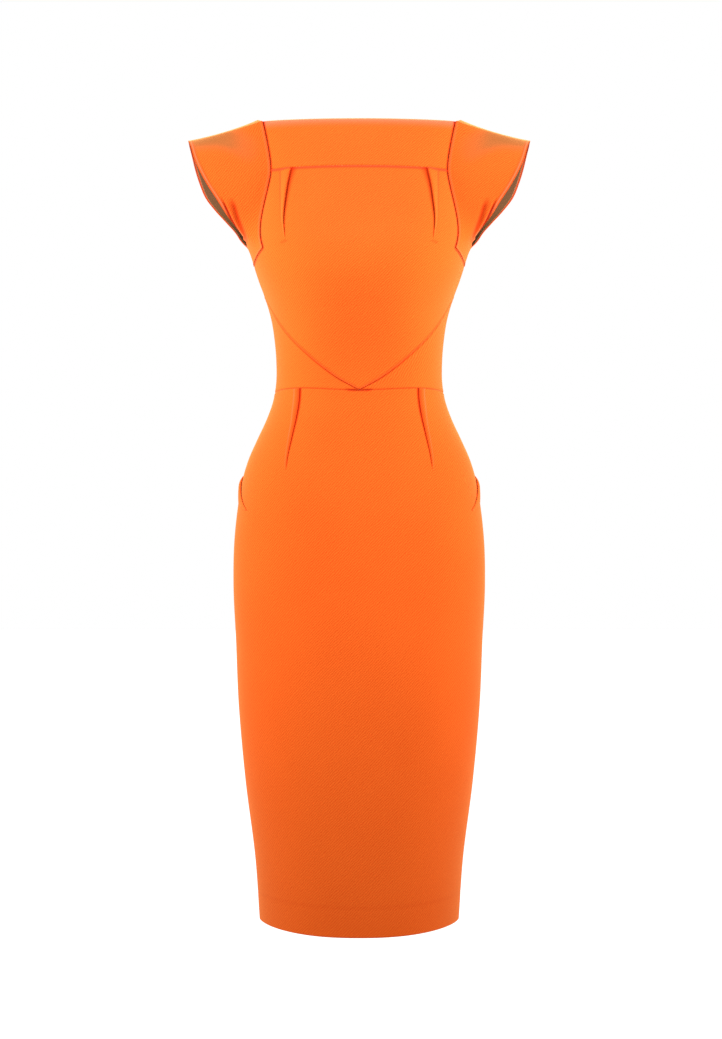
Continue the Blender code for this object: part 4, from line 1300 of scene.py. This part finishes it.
class DRESS_OT_back(bpy.types.Operator):
    """Adds the back bodice, the back skirt, the vent's underlap and the zip's tape"""

    bl_idname = "dress.back"
    bl_label = "Back"

    def execute(self, context):
        """Adds the pieces."""
        seams = Seams()
        bodice = bodice_back_panel(seams)
        skirt = skirt_back_panel(seams)
        for (side, upper), (_, lower) in zip(sides(bodice), sides(skirt)):
            add_crepe(f"{side}_back_bodice", upper, f"bodice_back_{side}")
            add_crepe(f"{side}_back_skirt", lower, f"skirt_back_{side}")
        wall = cloth_settings().crepe_wall
        vent_rows = skirt.points[:, -1, 2] <= VENT_TOP + WELD
        columns = back_turns() >= UNDERLAP_TURN
        underlap = Panel(skirt.moved(-(wall + LAYER_GAP), vent_rows, columns).points)
        add_cloth("back_vent_underlap", underlap, "vent_underlap", [crepe()], wall)
        self.add_tape(bodice, skirt, wall)
        return {"FINISHED"}

    @staticmethod
    def add_tape(bodice, skirt, wall):
        """Adds the tape behind the centre back, from below the hips to the neckline."""
        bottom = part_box("zip_tape")[0].z
        columns = back_turns() >= TAPE_TURN
        lower = skirt.moved(-(wall + LAYER_GAP), skirt.points[:, -1, 2] >= bottom, columns).points[:-1]
        below_facing = slice(0, bodice.outer_rows - bodice.facing_rows)
        upper = bodice.moved(-(wall + LAYER_GAP), below_facing, columns).points
        half = np.vstack([lower, upper])
        whole = np.concatenate([half, other_side(half)[:, 1:]], axis=1)
        tape = material_once("woven_tape", tape_material)
        add_cloth("back_zip_tape", Panel(whole), "zip_tape", [tape], TAPE_WALL)


class DRESS_OT_sleeves(bpy.types.Operator):
    """Adds both cap sleeves and their linings"""

    bl_idname = "dress.sleeves"
    bl_label = "Sleeves"

    def execute(self, context):
        """Adds the pieces."""
        settings = cloth_settings()
        sleeve = sleeve_panel()
        for (side, outer), (_, inner) in zip(sides(sleeve), sides(lining_panel(sleeve))):
            add_cloth(f"{side}_sleeve", outer, f"sleeve_{side}", [crepe()], settings.crepe_wall)
            add_cloth(
                f"{side}_sleeve_lining", inner, f"sleeve_lining_{side}", [satin()],
                settings.lining_wall)
        return {"FINISHED"}


class DRESS_OT_zip(bpy.types.Operator):
    """Finishes the zip's slider and pull"""

    bl_idname = "dress.zip"
    bl_label = "Zip"

    def execute(self, context):
        """Gives both their enamel."""
        enamel = material_once("dyed_enamel", enamel_material)
        for name in ("zip_slider", "zip_pull"):
            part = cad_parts[name]
            part.data.materials.clear()
            part.data.materials.append(enamel)
        return {"FINISHED"}


class DRESS_OT_stage(bpy.types.Operator):
    """Adds the floor, the room's light, the lamps and the camera"""

    bl_idname = "dress.stage"
    bl_label = "Studio"

    def execute(self, context):
        """Adds the studio."""
        settings = context.scene.dress_stage
        context.scene.view_settings.view_transform = "Standard"
        self.add_floor()
        self.light_room(settings)
        for side in (-1, 1):
            place = np.multiply(SIDE_LAMP, (side, 1, 1))
            self.add_lamp(f"side_{side}", place, SHOULDERS, settings.side_power)
        self.add_lamp("front", FRONT_LAMP, MIDDLE, settings.front_power, FRONT_SPREAD)
        self.add_lamp("back", BACK_LAMP, SHOULDERS, settings.back_power)
        self.add_camera()
        return {"FINISHED"}

    @staticmethod
    def add_floor():
        """A plain white floor."""
        mesh = bpy.data.meshes.new("floor")
        corners = [(x * FLOOR_REACH, y * FLOOR_REACH, FLOOR) for x, y in ((-1, -1), (1, -1), (1, 1), (-1, 1))]
        mesh.from_pydata(corners, [], [(0, 1, 2, 3)])
        mesh.materials.append(floor_material())
        add_object("floor", mesh)

    @staticmethod
    def light_room(settings):
        """Lights the room an even white."""
        world = bpy.data.worlds.new("studio")
        bpy.context.scene.world = world
        world.use_nodes = True
        sky = world.node_tree.nodes["Background"]
        sky.inputs["Color"].default_value = rgba((1, 1, 1))
        sky.inputs["Strength"].default_value = settings.room

    @staticmethod
    def add_lamp(name, place, target, power, spread=LAMP_SPREAD):
        """Adds a square soft lamp aimed at a point."""
        data = bpy.data.lights.new(name, "AREA")
        data.size, data.spread, data.energy = LAMP_SIZE, spread, power
        lamp = add_object(name, data)
        lamp.location = place
        lamp.rotation_euler = (Vector(target) - Vector(place)).to_track_quat("-Z", "Y").to_euler()

    @staticmethod
    def add_camera():
        """A level camera in front of the dress, its frame's height that of the picture."""
        data = bpy.data.cameras.new("camera")
        data.sensor_width = SENSOR
        data.lens = SENSOR * CAMERA_DISTANCE / (PICTURE_HEIGHT_PX * METRES_PER_PIXEL)
        camera = add_object("camera", data)
        camera.location = (CAMERA_ASIDE, -CAMERA_DISTANCE, CAMERA_HEIGHT)
        camera.rotation_euler = (np.radians(90), 0, 0)
        bpy.context.scene.camera = camera


class DRESS_PT_panel(bpy.types.Panel):
    """Lists the dress's settings and pieces"""

    bl_idname = "DRESS_PT_panel"
    bl_label = "Sheath dress"
    bl_space_type = "VIEW_3D"
    bl_region_type = "UI"
    bl_category = "Dress"

    def draw(self, context):
        """Draws the settings, then a button for each operator."""
        column = self.layout.column()
        for settings in (context.scene.dress_cloth, context.scene.dress_stage):
            for name in settings.__annotations__:
                column.prop(settings, name)
        for operator in OPERATORS:
            column.operator(operator.bl_idname)


OPERATORS = (DRESS_OT_front, DRESS_OT_skirt, DRESS_OT_back, DRESS_OT_sleeves, DRESS_OT_zip, DRESS_OT_stage)
CLASSES = (ClothSettings, StageSettings, *OPERATORS, DRESS_PT_panel)


def register():
    """Registers the settings, the operators and the panel."""
    for cls in CLASSES:
        bpy.utils.register_class(cls)
    bpy.types.Scene.dress_cloth = bpy.props.PointerProperty(type=ClothSettings)
    bpy.types.Scene.dress_stage = bpy.props.PointerProperty(type=StageSettings)


def unregister():
    """Undoes register."""
    del bpy.types.Scene.dress_stage
    del bpy.types.Scene.dress_cloth
    for cls in reversed(CLASSES):
        bpy.utils.unregister_class(cls)


def main():
    """Registers the add-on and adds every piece."""
    register()
    bpy.ops.dress.front()
    bpy.ops.dress.skirt()
    bpy.ops.dress.back()
    bpy.ops.dress.sleeves()
    bpy.ops.dress.zip()
    bpy.ops.dress.stage()


if __name__ == "__main__":
    main()
